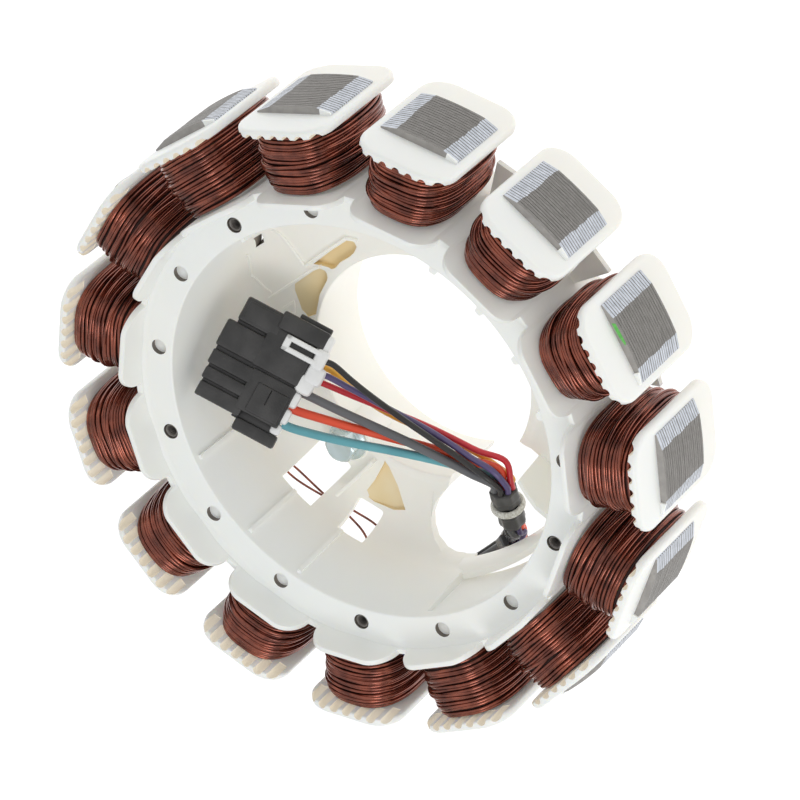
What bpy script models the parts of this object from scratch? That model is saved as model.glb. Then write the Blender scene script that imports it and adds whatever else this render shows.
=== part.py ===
# Wound stator of an outer-rotor motor: moulded insulator, laminated core, fifteen coils and a lead set.
# Metres, +Z up. The stator lies flat on the rear rim of its centre sleeve, on its axis at the origin.

import bpy
import bmesh
from math import cos, pi, radians, sin, sqrt, tan
from mathutils import Matrix, Vector

# Pattern and clearances
POLES = 15
PITCH = 2 * pi / POLES
SEAT_GAP = 0.0003
BITE = 0.001
THROUGH = 0.030
RING_STEPS = 36

# Laminated core: its yoke lies inside the ring, its teeth run out through the bobbin tubes
STACK = 0.0254
YOKE_SET = 0.0025
YOKE_WIDTH = 0.0080
TOOTH_HALF_W = 0.0072
SHOE_EDGE_RISE = 0.00215
CROWN_RISE = 0.00145
CROWN_HALF_ANGLE = radians(4.63)

# Moulded ring, with its front face over the stack
FACE_Z = 0.0728
SKIN = 0.00255
WALL_OUT_R = 0.0830
WALL = 0.0020
RING_WIDTH = 0.0131
RING_FILLET = 0.0015

# Petals that guide the wire off the ring
PETAL_RISE = 0.01215
NOTCH_RISE = 0.00225
NOTCH_HALF_W = 0.00198
PETAL_SHOULDER = 0.0079

# Bobbin tubes and outer caps
TUBE_WALL = 0.0012
COIL_SPACE = 0.02085
CAP_THICK = 0.0019
CAP_SIDE_GAP = 0.00515
CAP_HALF_H = 0.0269
CAP_CORNER_R = 0.0094
CAP_DRAFT = 0.0003
CAP_MARGIN = 0.00348
SHOE_SINK = 0.0006
GROOVE_PITCH = 0.00473
GROOVE_W = 0.0027
GROOVE_DEPTH = 0.0015
GROOVE_REACH = 0.0037
GROOVES = 7

# Webs across the rear of the slots
WEB_REACH = 0.0136
WEB_THICK = 0.0020

# Coils
TURNS = 6
COIL_SIDE_GAP = 0.00224
COIL_HALF_H = 0.0234
COIL_CORNER_R = 0.0105
TURN_RELIEF = 0.0008

# Dish inside the ring and its centre sleeve
DISH_WALL_LEAN = 0.0020
DISH_WALL_FOOT_DROP = 0.0285
DISH_CORNER = 0.0109
DISH_FLOOR_FALL = 0.0013
DISH_FLOOR_WIDTH = 0.0170
DISH_RIM_DROP = 0.0425
DISH_SHEET = 0.0028
SLEEVE_STEP_DROP = 0.0570
SLEEVE_STEP = 0.0010
SLEEVE_TAPER = 0.0024
SLEEVE_WALL = 0.0022
SLEEVE_LIP = 0.0008

# Recesses and threaded inserts on the ring's face
HOLE_SET = 0.0080
HOLE_R = 0.0027
RECESS_DEPTH = 0.0018
INSERT_EVERY = 3
INSERT_FIRST = 1
INSERT_LENGTH = 0.0080
INSERT_SINK = 0.0005
INSERT_BORE_R = 0.00165
INSERT_BOSS_R = 0.0042

# Windows (angle, set in from the dish wall, half width), harness cut-out and the lip over it
WINDOWS = ((129.0, 0.0184, 0.0056), (147.5, 0.0089, 0.0046))
WINDOW_END_SET = 0.0004
CUT_FROM = radians(176.0)
CUT_TO = radians(231.4)
CUT_IN_SET = 0.0030
CUT_OUT_SET = 0.0008
SLOT_FROM = radians(187.0)
SLOT_TO = radians(226.0)
SLOT_SET = 0.0010
STRAP = 0.0035
LIP_FROM = radians(183.0)
LIP_TO = radians(238.0)
LIP_REACH = 0.0036
LIP_THICK = 0.0022
LIP_TOP_DROP = 0.0173
LIP_FOOT_DROP = 0.0350

# Ribs and pockets on the dish; each pocket: from and to angle, and its width at both
RIB_THICK = 0.0014
RIB_RISE = 0.0013
RIB_TOP_DROP = 0.0022
WALL_RIBS = (radians(26.0), radians(105.0), radians(129.5), radians(147.0))
TALL_RIB_ANGLE = radians(138.5)
TALL_RIB_RISE = 0.0040
TALL_RIB_SET = 0.0088
TALL_RIB_CLIMB = 0.0120
POCKET_DEPTH = 0.0014
POCKET_SET = 0.0052
POCKETS = ((21.0, 45.0, 0.0030, 0.0046), (46.5, 66.0, 0.0026, 0.0113), (148.0, 158.0, 0.0108, 0.0123))
CHORD_RIB = ((25.7, 0.0092), (68.5, 0.0212))
CHORD_RIB_RISE = 0.0016
NUB_ANGLES = (radians(-84.0), radians(-67.6), radians(-51.8), radians(-35.8))
NUB_REACH = 0.0022
NUB_HALF_W = 0.0011
NUB_HEIGHT = 0.0060
NUB_TOP_DROP = 0.0006

# Flange bolt through the dish floor
BOLT_ANGLE = radians(129.5)
BOLT_SET = 0.0055
BOLT_SHANK_R = 0.0030
BOLT_LENGTH = 0.0120
BOLT_FLANGE_R = 0.0070
BOLT_FLANGE_H = 0.0014
BOLT_ACROSS_FLATS = 0.0100
BOLT_HEAD_H = 0.0048
BOLT_HEAD_EDGE = 0.0006
BOLT_BOSS_R = 0.0078
BOLT_BOSS_H = 0.0150
BOLT_PAD_RISE = 0.0012

# Connector: its corner, its directions, and its sizes along, across and through
PLUG_CORNER = Vector((0.03177, 0.04605, 0.05105))
PLUG_ALONG = Vector((-0.5137, -0.8056, -0.2951)).normalized()
PLUG_ACROSS = Vector((-0.7557, 0.2619, 0.6003)).normalized()
HOUSING_DEPTH = 0.0140
MATING_LENGTH = 0.0130
REAR_LENGTH = 0.0150
WIDE_CELL = 0.00875
NARROW_CELL = 0.0060
WIDE_CELLS = 2
NARROW_CELLS = 3
CELL_GROOVE = 0.0010
CELL_GROOVE_DEPTH = 0.0012
WIDE_CELL_SET = 0.0045
KEY_WIDTH = 0.0045
KEY_SET = 0.0030
COLLAR_RISE = 0.0012
PLUG_BODY_LENGTH = 0.0058
PLUG_SIDE_SET = 0.0015
PLUG_FOOT_SET = 0.0020
THIN_SIDE_WIDTH = 0.0185
THICK_SIDE_WIDTH = 0.0185
THICK_SIDE_OUT = 0.0012
PLUG_DEPTH = 0.0105
LATCH_RISE = 0.0011
LATCH_W = 0.0052
LATCH_LENGTH = 0.0125
LATCH_BAR = 0.0013
LATCH_EDGE = 0.0006

# Lead set
THIN_LEAD = 0.0021
THICK_LEAD = 0.0030
SLEEVE_TUBE_R = 0.00465
SLEEVE_TUBE_TOP = Vector((-0.0372, -0.0285, 0.0413))
SLEEVE_TUBE_END = Vector((-0.0522, -0.0263, 0.0364))
SLEEVE_TUBE_SIDE = Vector((0.157, -0.714, -0.682))
TAIL_STUB = 0.0025
TAIL_TOP_Z = 0.0352
TAIL_DIAMETER = 0.0074
TAIL_POINTS = 12
CORD_R = 0.0011
CORD_PLACE = 0.0075
TIE_PLACE = 0.42
TIE_WIDTH = 0.0036
TIE_THICK = 0.0012
TIE_HEAD = Vector((0.0056, 0.0046, 0.0036))

# Terminal cover under the ring's rear face
COVER_FROM_Y = 0.0030
COVER_TO_Y = 0.0200
COVER_DEPTH = 0.0130

# Crossover wires on the rear of the ring
CROSSOVER_D = 0.0015
CROSSOVER_POINTS = 12


# Values that follow from the sizes above
MID_Z = FACE_Z - SKIN - STACK / 2
RING_HALF_H = STACK / 2 + SKIN
REAR_Z = MID_Z - RING_HALF_H
WALL_IN_R = WALL_OUT_R - WALL
RING_IN_R = WALL_OUT_R - RING_WIDTH
YOKE_OUT_R = WALL_OUT_R - YOKE_SET
YOKE_IN_R = YOKE_OUT_R - YOKE_WIDTH
HOLE_CIRCLE_R = WALL_OUT_R - HOLE_SET
PETAL_HALF_W = WALL_OUT_R * PITCH / 2 - NOTCH_HALF_W
PETAL_FLAT_HALF_W = PETAL_HALF_W - PETAL_SHOULDER
WEB_END_R = WALL_OUT_R + WEB_REACH
COIL_HALF_W = WALL_OUT_R * tan(PITCH / 2) - COIL_SIDE_GAP
TUBE_HALF_W = TOOTH_HALF_W + SEAT_GAP + TUBE_WALL
CAP_IN_R = WALL_OUT_R + COIL_SPACE
CAP_OUT_R = CAP_IN_R + CAP_THICK
CAP_HALF_W = CAP_OUT_R * tan(PITCH / 2) - CAP_SIDE_GAP
SHOE_HALF_W = CAP_HALF_W - CAP_MARGIN
FOOT_R = CAP_OUT_R + SHOE_EDGE_RISE
CROWN_R = FOOT_R + CROWN_RISE
DISH_WALL_FOOT_R = RING_IN_R - DISH_WALL_LEAN
DISH_FLOOR_R = DISH_WALL_FOOT_R - DISH_CORNER
DISH_FLOOR_DROP = DISH_RIM_DROP - DISH_FLOOR_FALL
SLEEVE_IN_R = DISH_FLOOR_R - DISH_FLOOR_WIDTH
SLEEVE_TAIL_IN_R = SLEEVE_IN_R + SLEEVE_TAPER
CUT_IN_R = SLEEVE_IN_R - CUT_IN_SET
CUT_OUT_R = DISH_WALL_FOOT_R - CUT_OUT_SET
SLOT_OUT_R = RING_IN_R + SLOT_SET
LIP_NEAR_R = DISH_WALL_FOOT_R - LIP_REACH
POCKET_NEAR_R = SLEEVE_IN_R + POCKET_SET
TALL_RIB_FROM_R = SLEEVE_IN_R + TALL_RIB_SET
BOLT_CIRCLE_R = SLEEVE_IN_R + BOLT_SET
PLUG_OUT = PLUG_ACROSS.cross(PLUG_ALONG).normalized()


# Scene, materials and mesh helpers
def clear_scene():
    for item in list(bpy.data.objects):
        bpy.data.objects.remove(item)


def material(name, colour, roughness, metallic=0.0):
    made = bpy.data.materials.new(name)
    made.use_nodes = True
    shader = made.node_tree.nodes["Principled BSDF"]
    shader.inputs["Base Color"].default_value = (*colour, 1.0)
    shader.inputs["Roughness"].default_value = roughness
    shader.inputs["Metallic"].default_value = metallic
    return made


def place(name, bm, finish, smooth_angle=35.0):
    bmesh.ops.recalc_face_normals(bm, faces=bm.faces[:])
    mesh = bpy.data.meshes.new(name)
    bm.to_mesh(mesh)
    bm.free()
    item = bpy.data.objects.new(name, mesh)
    bpy.context.scene.collection.objects.link(item)
    if finish is not None:
        mesh.materials.append(finish)
    mesh.shade_smooth()
    mesh.set_sharp_from_angle(angle=radians(smooth_angle))
    return item


def combine(target, tool, operation):
    step = target.modifiers.new(operation.lower(), "BOOLEAN")
    step.operation = operation
    step.solver = "EXACT"
    step.object = tool
    graph = bpy.context.evaluated_depsgraph_get()
    mesh = bpy.data.meshes.new_from_object(target.evaluated_get(graph))
    target.modifiers.clear()
    target.data = mesh
    bpy.data.objects.remove(tool)
    return target


def add_loft(bm, rings, matrix=Matrix()):
    loops = [[bm.verts.new(matrix @ Vector(p)) for p in ring] for ring in rings]
    count = len(loops[0])
    for low, high in zip(loops[:-1], loops[1:]):
        for i in range(count):
            j = (i + 1) % count
            bm.faces.new((low[i], low[j], high[j], high[i]))
    bm.faces.new(loops[0][::-1])
    bm.faces.new(loops[-1])


def add_prism(bm, outline, low, high, matrix=Matrix()):
    add_loft(bm, [[(x, y, low) for x, y in outline], [(x, y, high) for x, y in outline]], matrix)


def add_lathe(bm, profile, steps, centre=Vector((0, 0, 0))):
    rings = []
    for i in range(steps):
        turn = 2 * pi * i / steps
        rings.append([bm.verts.new(centre + Vector((r * cos(turn), r * sin(turn), z))) for r, z in profile])
    count = len(profile)
    for i in range(steps):
        here, after = rings[i], rings[(i + 1) % steps]
        for j in range(count):
            k = (j + 1) % count
            bm.faces.new((here[j], here[k], after[k], after[j]))


def circle(radius, steps, centre=(0.0, 0.0)):
    return [
        (centre[0] + radius * cos(2 * pi * i / steps), centre[1] + radius * sin(2 * pi * i / steps))
        for i in range(steps)
    ]


def rounded_rectangle(half_w, half_h, radius, segments):
    points = []
    for quarter, (sx, sy) in enumerate(((1, 1), (-1, 1), (-1, -1), (1, -1))):
        centre = Vector((sx * (half_w - radius), sy * (half_h - radius)))
        for i in range(segments + 1):
            turn = pi / 2 * (quarter + i / segments)
            points.append((centre.x + radius * cos(turn), centre.y + radius * sin(turn)))
    return points


def at_angle(turn, radius, z=0.0):
    return Vector((radius * cos(turn), radius * sin(turn), z))


def turned(turn):
    return Matrix.Rotation(turn, 4, "Z")


# Laminated core: one outline of yoke and teeth, stacked to its height
def tooth_outline(gap, bore_out_r=None):
    shank = TOOTH_HALF_W + gap
    shoe = SHOE_HALF_W + gap
    seat = CAP_OUT_R - SHOE_SINK - gap
    foot = sqrt(FOOT_R**2 - SHOE_HALF_W**2)
    root = sqrt((YOKE_OUT_R + gap)**2 - shank**2)
    side = [(root, shank), (seat, shank), (seat, shoe)]
    if bore_out_r:
        top = [(bore_out_r, shoe), (bore_out_r, -shoe)]
    else:
        arc = [CROWN_HALF_ANGLE * (1 - i / 2) for i in range(5)]
        top = [(foot, shoe)] + [(CROWN_R * cos(a), CROWN_R * sin(a)) for a in arc] + [(foot, -shoe)]
    return [(x, -y) for x, y in side] + top[::-1] + side[::-1]


def core_outline(gap, bore_out_r=None):
    points = []
    for pole in range(POLES):
        turn = PITCH * pole
        for x, y in tooth_outline(gap, bore_out_r):
            points.append((x * cos(turn) - y * sin(turn), x * sin(turn) + y * cos(turn)))
        mid = turn + PITCH / 2
        points.append(((YOKE_OUT_R + gap) * cos(mid), (YOKE_OUT_R + gap) * sin(mid)))
    return points


def insert_poles():
    return range(INSERT_FIRST, POLES, INSERT_EVERY)


def core_solid(name, finish, gap, bore_out_r=None):
    half = STACK / 2 + gap
    bm = bmesh.new()
    add_prism(bm, core_outline(gap, bore_out_r), MID_Z - half, MID_Z + half)
    core = place(name, bm, finish)
    eye = bmesh.new()
    add_prism(eye, circle(YOKE_IN_R - gap, RING_STEPS), MID_Z - half - BITE, MID_Z + half + BITE)
    combine(core, place("core_eye", eye, None), "DIFFERENCE")
    notches = bmesh.new()
    for pole in insert_poles():
        centre = at_angle(PITCH * pole, HOLE_CIRCLE_R)
        outline = circle(INSERT_BOSS_R - gap, 10, centre)
        add_prism(notches, outline, MID_Z - half - BITE, MID_Z + half + BITE)
    combine(core, place("core_notches", notches, None), "DIFFERENCE")
    return core


# Ring and dish: one turned section, from the outer wall to the rear rim of the centre sleeve
def dish_front():
    points = [(RING_IN_R, FACE_Z), (DISH_WALL_FOOT_R, FACE_Z - DISH_WALL_FOOT_DROP)]
    across = DISH_WALL_FOOT_R - DISH_FLOOR_R
    down = DISH_FLOOR_DROP - DISH_WALL_FOOT_DROP
    for i in range(1, 4):
        turn = pi / 2 * i / 3
        r = DISH_FLOOR_R + across * cos(turn)
        points.append((r, FACE_Z - DISH_WALL_FOOT_DROP - down * sin(turn)))
    return points


def offset_down(points):
    moved = []
    for i, (r, z) in enumerate(points):
        before = Vector(points[max(i - 1, 0)])
        after = Vector(points[min(i + 1, len(points) - 1)])
        along = (after - before).normalized()
        moved.append((r - along.y * DISH_SHEET, z + along.x * DISH_SHEET))
    return moved


def sleeve_out_r():
    return SLEEVE_TAIL_IN_R + SLEEVE_WALL


def ring_and_dish():
    front = dish_front()
    back = offset_down(front[1:])
    rim_z = FACE_Z - DISH_RIM_DROP
    join_r = WALL_IN_R + WALL * 0.45
    step_z = FACE_Z - SLEEVE_STEP_DROP
    section = [
        (join_r, FACE_Z + RING_FILLET),
        (WALL_IN_R - RING_FILLET, FACE_Z),
        *front,
        (sleeve_out_r(), rim_z),
        (SLEEVE_IN_R + SLEEVE_WALL, rim_z + SLEEVE_LIP),
        (SLEEVE_IN_R, rim_z + SLEEVE_LIP),
        (SLEEVE_IN_R + SLEEVE_STEP * 0.4, step_z),
        (SLEEVE_IN_R + SLEEVE_STEP * 1.4, step_z - SLEEVE_STEP),
        (SLEEVE_TAIL_IN_R, 0.0),
        (sleeve_out_r(), 0.0),
        (sleeve_out_r(), rim_z - DISH_SHEET),
        *back[::-1],
        (SLOT_OUT_R, REAR_Z),
        (join_r, REAR_Z),
    ]
    bm = bmesh.new()
    add_lathe(bm, section, RING_STEPS)
    return bm


# Outer wall with its petals, a notch between each pair
def petal_rise(s):
    reach = abs(s)
    if reach <= PETAL_FLAT_HALF_W:
        return PETAL_RISE
    part = min((reach - PETAL_FLAT_HALF_W) / (PETAL_HALF_W - PETAL_FLAT_HALF_W), 1.0)
    return NOTCH_RISE + (PETAL_RISE - NOTCH_RISE) * sqrt(max(0.0, 1 - part**2))


def petal_wall(bm):
    shoulder = [radians(a) for a in (0, 38, 68, 90)]
    width = PETAL_HALF_W - PETAL_FLAT_HALF_W
    half = [PETAL_FLAT_HALF_W + width * sin(a) for a in shoulder]
    places = [-s for s in half[::-1]] + half
    columns = []
    for pole in range(POLES):
        for s in places:
            turn = PITCH * pole + s / WALL_OUT_R
            top = FACE_Z + petal_rise(s)
            foot = REAR_Z - petal_rise(s)
            corners = ((WALL_IN_R, top), (WALL_IN_R, foot), (WALL_OUT_R, foot), (WALL_OUT_R, top))
            columns.append([bm.verts.new(at_angle(turn, r, z)) for r, z in corners])
    for i, here in enumerate(columns):
        after = columns[(i + 1) % len(columns)]
        for j in range(4):
            k = (j + 1) % 4
            bm.faces.new((here[j], here[k], after[k], after[j]))


# One pole of the insulator: bobbin tube and outer cap, with the wire grooves under the cap's front edge
def cap_outline(inset):
    rim = rounded_rectangle(CAP_HALF_W - inset, CAP_HALF_H - inset, CAP_CORNER_R - inset, 3)
    return [(y, MID_Z + z) for y, z in rim]


def pole_module():
    plate = bmesh.new()
    levels = ((CAP_IN_R, 0.0), (CAP_OUT_R, CAP_DRAFT))
    add_loft(plate, [[(x, y, z) for y, z in cap_outline(inset)] for x, inset in levels])
    module = place("pole_module", plate, None)
    grooves = bmesh.new()
    deep = CAP_IN_R + GROOVE_DEPTH
    top = MID_Z + CAP_HALF_H
    for i in range(GROOVES):
        s = GROOVE_PITCH * (i - (GROOVES - 1) / 2)
        past_flat = max(0.0, abs(s) - (CAP_HALF_W - CAP_CORNER_R))
        fall = CAP_CORNER_R - sqrt(CAP_CORNER_R**2 - past_flat**2)
        outline = [
            (CAP_IN_R - GROOVE_DEPTH, s - GROOVE_W),
            (deep, s),
            (CAP_IN_R - GROOVE_DEPTH, s + GROOVE_W),
        ]
        add_prism(grooves, outline, top - fall - GROOVE_REACH, top + BITE)
    combine(module, place("cap_grooves", grooves, None), "DIFFERENCE")
    tube = bmesh.new()
    x0 = WALL_IN_R - BITE
    x1 = CAP_IN_R + CAP_THICK * 0.4
    w = TUBE_HALF_W
    add_prism(tube, [(x0, -w), (x1, -w), (x1, w), (x0, w)], REAR_Z, FACE_Z)
    return combine(module, place("bobbin_tube", tube, None), "UNION")


def slot_web(bm, turn):
    side = COIL_HALF_W + SEAT_GAP

    def half_width(x):
        return (x * sin(PITCH / 2) - side) / cos(PITCH / 2)

    x0 = WALL_OUT_R - BITE
    outline = [
        (x0, -half_width(x0)),
        (WEB_END_R, -half_width(WEB_END_R)),
        (WEB_END_R, half_width(WEB_END_R)),
        (x0, half_width(x0)),
    ]
    add_prism(bm, outline, REAR_Z, REAR_Z + WEB_THICK, turned(turn))


def poles_and_webs():
    module = pole_module()
    bm = bmesh.new()
    for pole in range(POLES):
        copy = module.data.copy()
        copy.transform(turned(PITCH * pole))
        bm.from_mesh(copy)
        slot_web(bm, PITCH * (pole + 0.5))
    bpy.data.objects.remove(module)
    return bm


# Dish details: ribs, pockets, windows, harness cut-out and the lip that the harness runs under
def front_z(r):
    points = dish_front() + [(SLEEVE_IN_R, FACE_Z - DISH_RIM_DROP)]
    for (r0, z0), (r1, z1) in zip(points[:-1], points[1:]):
        if r1 <= r <= r0 and r0 - r1 > 1e-6:
            return z0 + (z1 - z0) * (r0 - r) / (r0 - r1)
    return FACE_Z - DISH_RIM_DROP


def wall_rib(bm, turn):
    section = dish_front()
    inner = []
    outer = []
    for i, (r, z) in enumerate(section):
        before = Vector(section[max(i - 1, 0)])
        after = Vector(section[min(i + 1, len(section) - 1)])
        along = (after - before).normalized()
        inner.append((r + along.y * RIB_RISE, z - along.x * RIB_RISE))
        outer.append((r - along.y * BITE, z + along.x * BITE))
    inner[0] = (RING_IN_R - RIB_RISE, FACE_Z - RIB_TOP_DROP)
    outer[0] = (RING_IN_R + BITE, FACE_Z - RIB_TOP_DROP)
    outline = inner[:4] + outer[:4][::-1]
    stand = turned(turn) @ Matrix.Rotation(pi / 2, 4, "X")
    add_prism(bm, outline, -RIB_THICK / 2, RIB_THICK / 2, stand)


def tall_rib(bm):
    steps = 6
    reach = DISH_WALL_FOOT_R - TALL_RIB_FROM_R
    radii = [TALL_RIB_FROM_R + reach * i / steps for i in range(steps + 1)]
    foot = [(r, front_z(r) - BITE) for r in radii]
    top_z = FACE_Z - DISH_RIM_DROP + TALL_RIB_RISE
    outline = foot + [(DISH_WALL_FOOT_R, top_z + TALL_RIB_CLIMB), (TALL_RIB_FROM_R + 0.006, top_z)]
    outline += [(TALL_RIB_FROM_R, top_z - TALL_RIB_RISE / 2)]
    stand = turned(TALL_RIB_ANGLE) @ Matrix.Rotation(pi / 2, 4, "X")
    add_prism(bm, outline, -RIB_THICK / 2, RIB_THICK / 2, stand)


def chord_rib(bm):
    (from_turn, from_set), (to_turn, to_set) = CHORD_RIB
    start = at_angle(radians(from_turn), SLEEVE_IN_R + from_set)
    end = at_angle(radians(to_turn), SLEEVE_IN_R + to_set)
    along = (end - start).normalized()
    side = Vector((-along.y, along.x, 0.0)) * RIB_THICK / 2
    corners = (start - side, end - side, end + side, start + side)
    top = FACE_Z - DISH_RIM_DROP + CHORD_RIB_RISE
    add_prism(bm, [(p.x, p.y) for p in corners], top - CHORD_RIB_RISE - BITE * 2, top)


def wall_nub(bm, turn):
    w = NUB_HALF_W
    outline = [
        (RING_IN_R + BITE, -w * 1.8),
        (RING_IN_R + BITE, w * 1.8),
        (RING_IN_R - NUB_REACH, w),
        (RING_IN_R - NUB_REACH, -w),
    ]
    add_prism(bm, outline, FACE_Z - NUB_HEIGHT, FACE_Z - NUB_TOP_DROP, turned(turn))


def lip_band(bm):
    steps = 10
    loops = []
    for i in range(steps + 1):
        part = i / steps
        turn = LIP_FROM + (LIP_TO - LIP_FROM) * part
        dip = (DISH_WALL_FOOT_R + BITE - LIP_NEAR_R) * sin(pi * part)**0.6 if 0 < part < 1 else 0.0
        near = DISH_WALL_FOOT_R + BITE - dip
        far = near + LIP_THICK
        top, foot = FACE_Z - LIP_TOP_DROP, FACE_Z - LIP_FOOT_DROP
        loops.append([at_angle(turn, r, z) for r, z in ((near, top), (near, foot), (far, foot), (far, top))])
    add_loft(bm, loops)


def sector(from_turn, to_turn, near_r, far_r, steps):
    spread = [from_turn + (to_turn - from_turn) * i / steps for i in range(steps + 1)]
    near = [(near_r * cos(a), near_r * sin(a)) for a in spread]
    far = [(far_r * cos(a), far_r * sin(a)) for a in spread]
    return near + far[::-1]


def cut_dish(body):
    windows = bmesh.new()
    far_r = DISH_WALL_FOOT_R - WINDOW_END_SET
    for turn, inset, half_w in WINDOWS:
        near_r = DISH_WALL_FOOT_R - inset
        outline = [(near_r, -half_w), (far_r, -half_w), (far_r, half_w), (near_r, half_w)]
        add_prism(windows, outline, REAR_Z - THROUGH, FACE_Z, turned(radians(turn)))
    combine(body, place("windows", windows, None), "DIFFERENCE")
    pockets = bmesh.new()
    for from_turn, to_turn, from_width, to_width in POCKETS:
        turns = [radians(from_turn + (to_turn - from_turn) * i / 4) for i in range(5)]
        outline = [(POCKET_NEAR_R * cos(a), POCKET_NEAR_R * sin(a)) for a in turns]
        for turn, width in ((turns[-1], to_width), (turns[0], from_width)):
            outline.append(((POCKET_NEAR_R + width) * cos(turn), (POCKET_NEAR_R + width) * sin(turn)))
        low = FACE_Z - DISH_RIM_DROP - POCKET_DEPTH
        add_prism(pockets, outline, low, FACE_Z)
    combine(body, place("pockets", pockets, None), "DIFFERENCE")
    passage = bmesh.new()
    outline = sector(CUT_FROM, CUT_TO, CUT_IN_R, CUT_OUT_R, 10)
    add_prism(passage, outline, -BITE, FACE_Z - DISH_WALL_FOOT_DROP)
    combine(body, place("harness_passage", passage, None), "DIFFERENCE")
    slot = bmesh.new()
    outline = sector(SLOT_FROM, SLOT_TO, CUT_OUT_R - BITE, SLOT_OUT_R, 8)
    add_prism(slot, outline, REAR_Z - THROUGH, FACE_Z - STRAP)
    combine(body, place("lip_slot", slot, None), "DIFFERENCE")


def bolt_centre():
    return at_angle(BOLT_ANGLE, BOLT_CIRCLE_R)


def insulator(finish):
    body = place("insulator_body", ring_and_dish(), finish)
    cut_dish(body)
    wall = bmesh.new()
    petal_wall(wall)
    combine(body, place("petal_wall", wall, None), "UNION")
    combine(body, place("poles_and_webs", poles_and_webs(), None), "UNION")
    extras = bmesh.new()
    for turn in WALL_RIBS:
        wall_rib(extras, turn)
    for turn in NUB_ANGLES:
        wall_nub(extras, turn)
    tall_rib(extras)
    lip_band(extras)
    combine(body, place("dish_details", extras, None), "UNION")
    chord = bmesh.new()
    chord_rib(chord)
    combine(body, place("chord_rib", chord, None), "UNION")
    boss = bmesh.new()
    seat_z = FACE_Z - DISH_RIM_DROP + BOLT_PAD_RISE
    add_prism(boss, circle(BOLT_BOSS_R, 20, bolt_centre()), seat_z - BOLT_BOSS_H, seat_z)
    combine(body, place("bolt_boss", boss, None), "UNION")
    combine(body, core_solid("core_room", None, SEAT_GAP, CROWN_R + THROUGH), "DIFFERENCE")
    holes = bmesh.new()
    with_insert = set(insert_poles())
    for pole in range(POLES):
        depth = RECESS_DEPTH
        if pole in with_insert:
            depth = INSERT_SINK + INSERT_LENGTH + SEAT_GAP
        outline = circle(HOLE_R, 10, at_angle(PITCH * pole, HOLE_CIRCLE_R))
        add_prism(holes, outline, FACE_Z - depth, FACE_Z + BITE)
    shank = circle(BOLT_SHANK_R + SEAT_GAP, 12, bolt_centre())
    add_prism(holes, shank, seat_z - BOLT_LENGTH - SEAT_GAP, seat_z + BITE)
    combine(body, place("holes", holes, None), "DIFFERENCE")
    body.data.materials.clear()
    body.data.materials.append(finish)
    body.data.shade_smooth()
    body.data.set_sharp_from_angle(angle=radians(35.0))
    return body


# Coils: each turn a rounded ridge round the bobbin tube
def coil_mesh():
    inner_x = WALL_OUT_R + SEAT_GAP
    outer_x = CAP_IN_R - SEAT_GAP
    step = (outer_x - inner_x) / TURNS
    bm = bmesh.new()
    rings = []
    for i in range(2 * TURNS + 1):
        relief = TURN_RELIEF if i % 2 == 0 else 0.0
        rim = rounded_rectangle(COIL_HALF_W - relief, COIL_HALF_H - relief, COIL_CORNER_R - relief, 2)
        x = inner_x + step * i / 2
        rings.append([bm.verts.new((x, y, MID_Z + z)) for y, z in rim])
    for low, high in zip(rings[:-1], rings[1:]):
        for i in range(12):
            j = (i + 1) % 12
            bm.faces.new((low[i], low[j], high[j], high[i]))
    w = TUBE_HALF_W + SEAT_GAP
    h = RING_HALF_H + SEAT_GAP
    corners = ((w, h), (-w, h), (-w, -h), (w, -h))
    bore = [[bm.verts.new((x, y, MID_Z + z)) for y, z in corners] for x in (inner_x, outer_x)]
    for i in range(4):
        j = (i + 1) % 4
        bm.faces.new((bore[0][i], bore[1][i], bore[1][j], bore[0][j]))
    for ring, hole in ((rings[0], bore[0]), (rings[-1], bore[1])):
        for i in range(4):
            a = 3 * i
            bm.faces.new((ring[a], ring[a + 1], hole[i]))
            bm.faces.new((ring[a + 1], ring[a + 2], hole[i]))
            bm.faces.new((ring[a + 2], ring[(a + 3) % 12], hole[(i + 1) % 4], hole[i]))
    return bm


def coils(finish):
    first = place("coil_01", coil_mesh(), finish, 50.0)
    for pole in range(1, POLES):
        copy = bpy.data.objects.new("coil_%02d" % (pole + 1), first.data)
        bpy.context.scene.collection.objects.link(copy)
        copy.rotation_euler.z = PITCH * pole


# Threaded inserts in every third recess
def inserts(finish):
    top = FACE_Z - INSERT_SINK
    foot = top - INSERT_LENGTH
    outer = HOLE_R - SEAT_GAP
    section = [(INSERT_BORE_R, top), (INSERT_BORE_R, foot), (outer, foot), (outer, top)]
    for number, pole in enumerate(insert_poles(), 1):
        bm = bmesh.new()
        add_lathe(bm, section, 10, at_angle(PITCH * pole, HOLE_CIRCLE_R))
        place("threaded_insert_%d" % number, bm, finish)


# Flange bolt in the dish floor
def flange_bolt(finish):
    seat = FACE_Z - DISH_RIM_DROP + BOLT_PAD_RISE + SEAT_GAP
    centre = bolt_centre()
    bm = bmesh.new()
    levels = (
        (BOLT_SHANK_R, -BOLT_LENGTH),
        (BOLT_SHANK_R, 0.0),
        (BOLT_FLANGE_R, 0.0),
        (BOLT_FLANGE_R, BOLT_FLANGE_H * 0.5),
        (BOLT_ACROSS_FLATS * 0.5, BOLT_FLANGE_H),
    )
    rings = [[(x, y, seat + z) for x, y in circle(r, 18, centre)] for r, z in levels]
    add_loft(bm, rings)
    bolt = place("flange_bolt", bm, finish)
    head = bmesh.new()
    corner = BOLT_ACROSS_FLATS / 2 / cos(pi / 6)
    low, high = BOLT_FLANGE_H * 0.4, BOLT_FLANGE_H + BOLT_HEAD_H
    rings = [(corner, low), (corner, high - BOLT_HEAD_EDGE), (corner - BOLT_HEAD_EDGE, high)]
    add_loft(head, [[(x, y, seat + z) for x, y in circle(r, 6, centre)] for r, z in rings])
    combine(bolt, place("bolt_head", head, None), "UNION")
    bolt.data.materials.clear()
    bolt.data.materials.append(finish)


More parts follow.
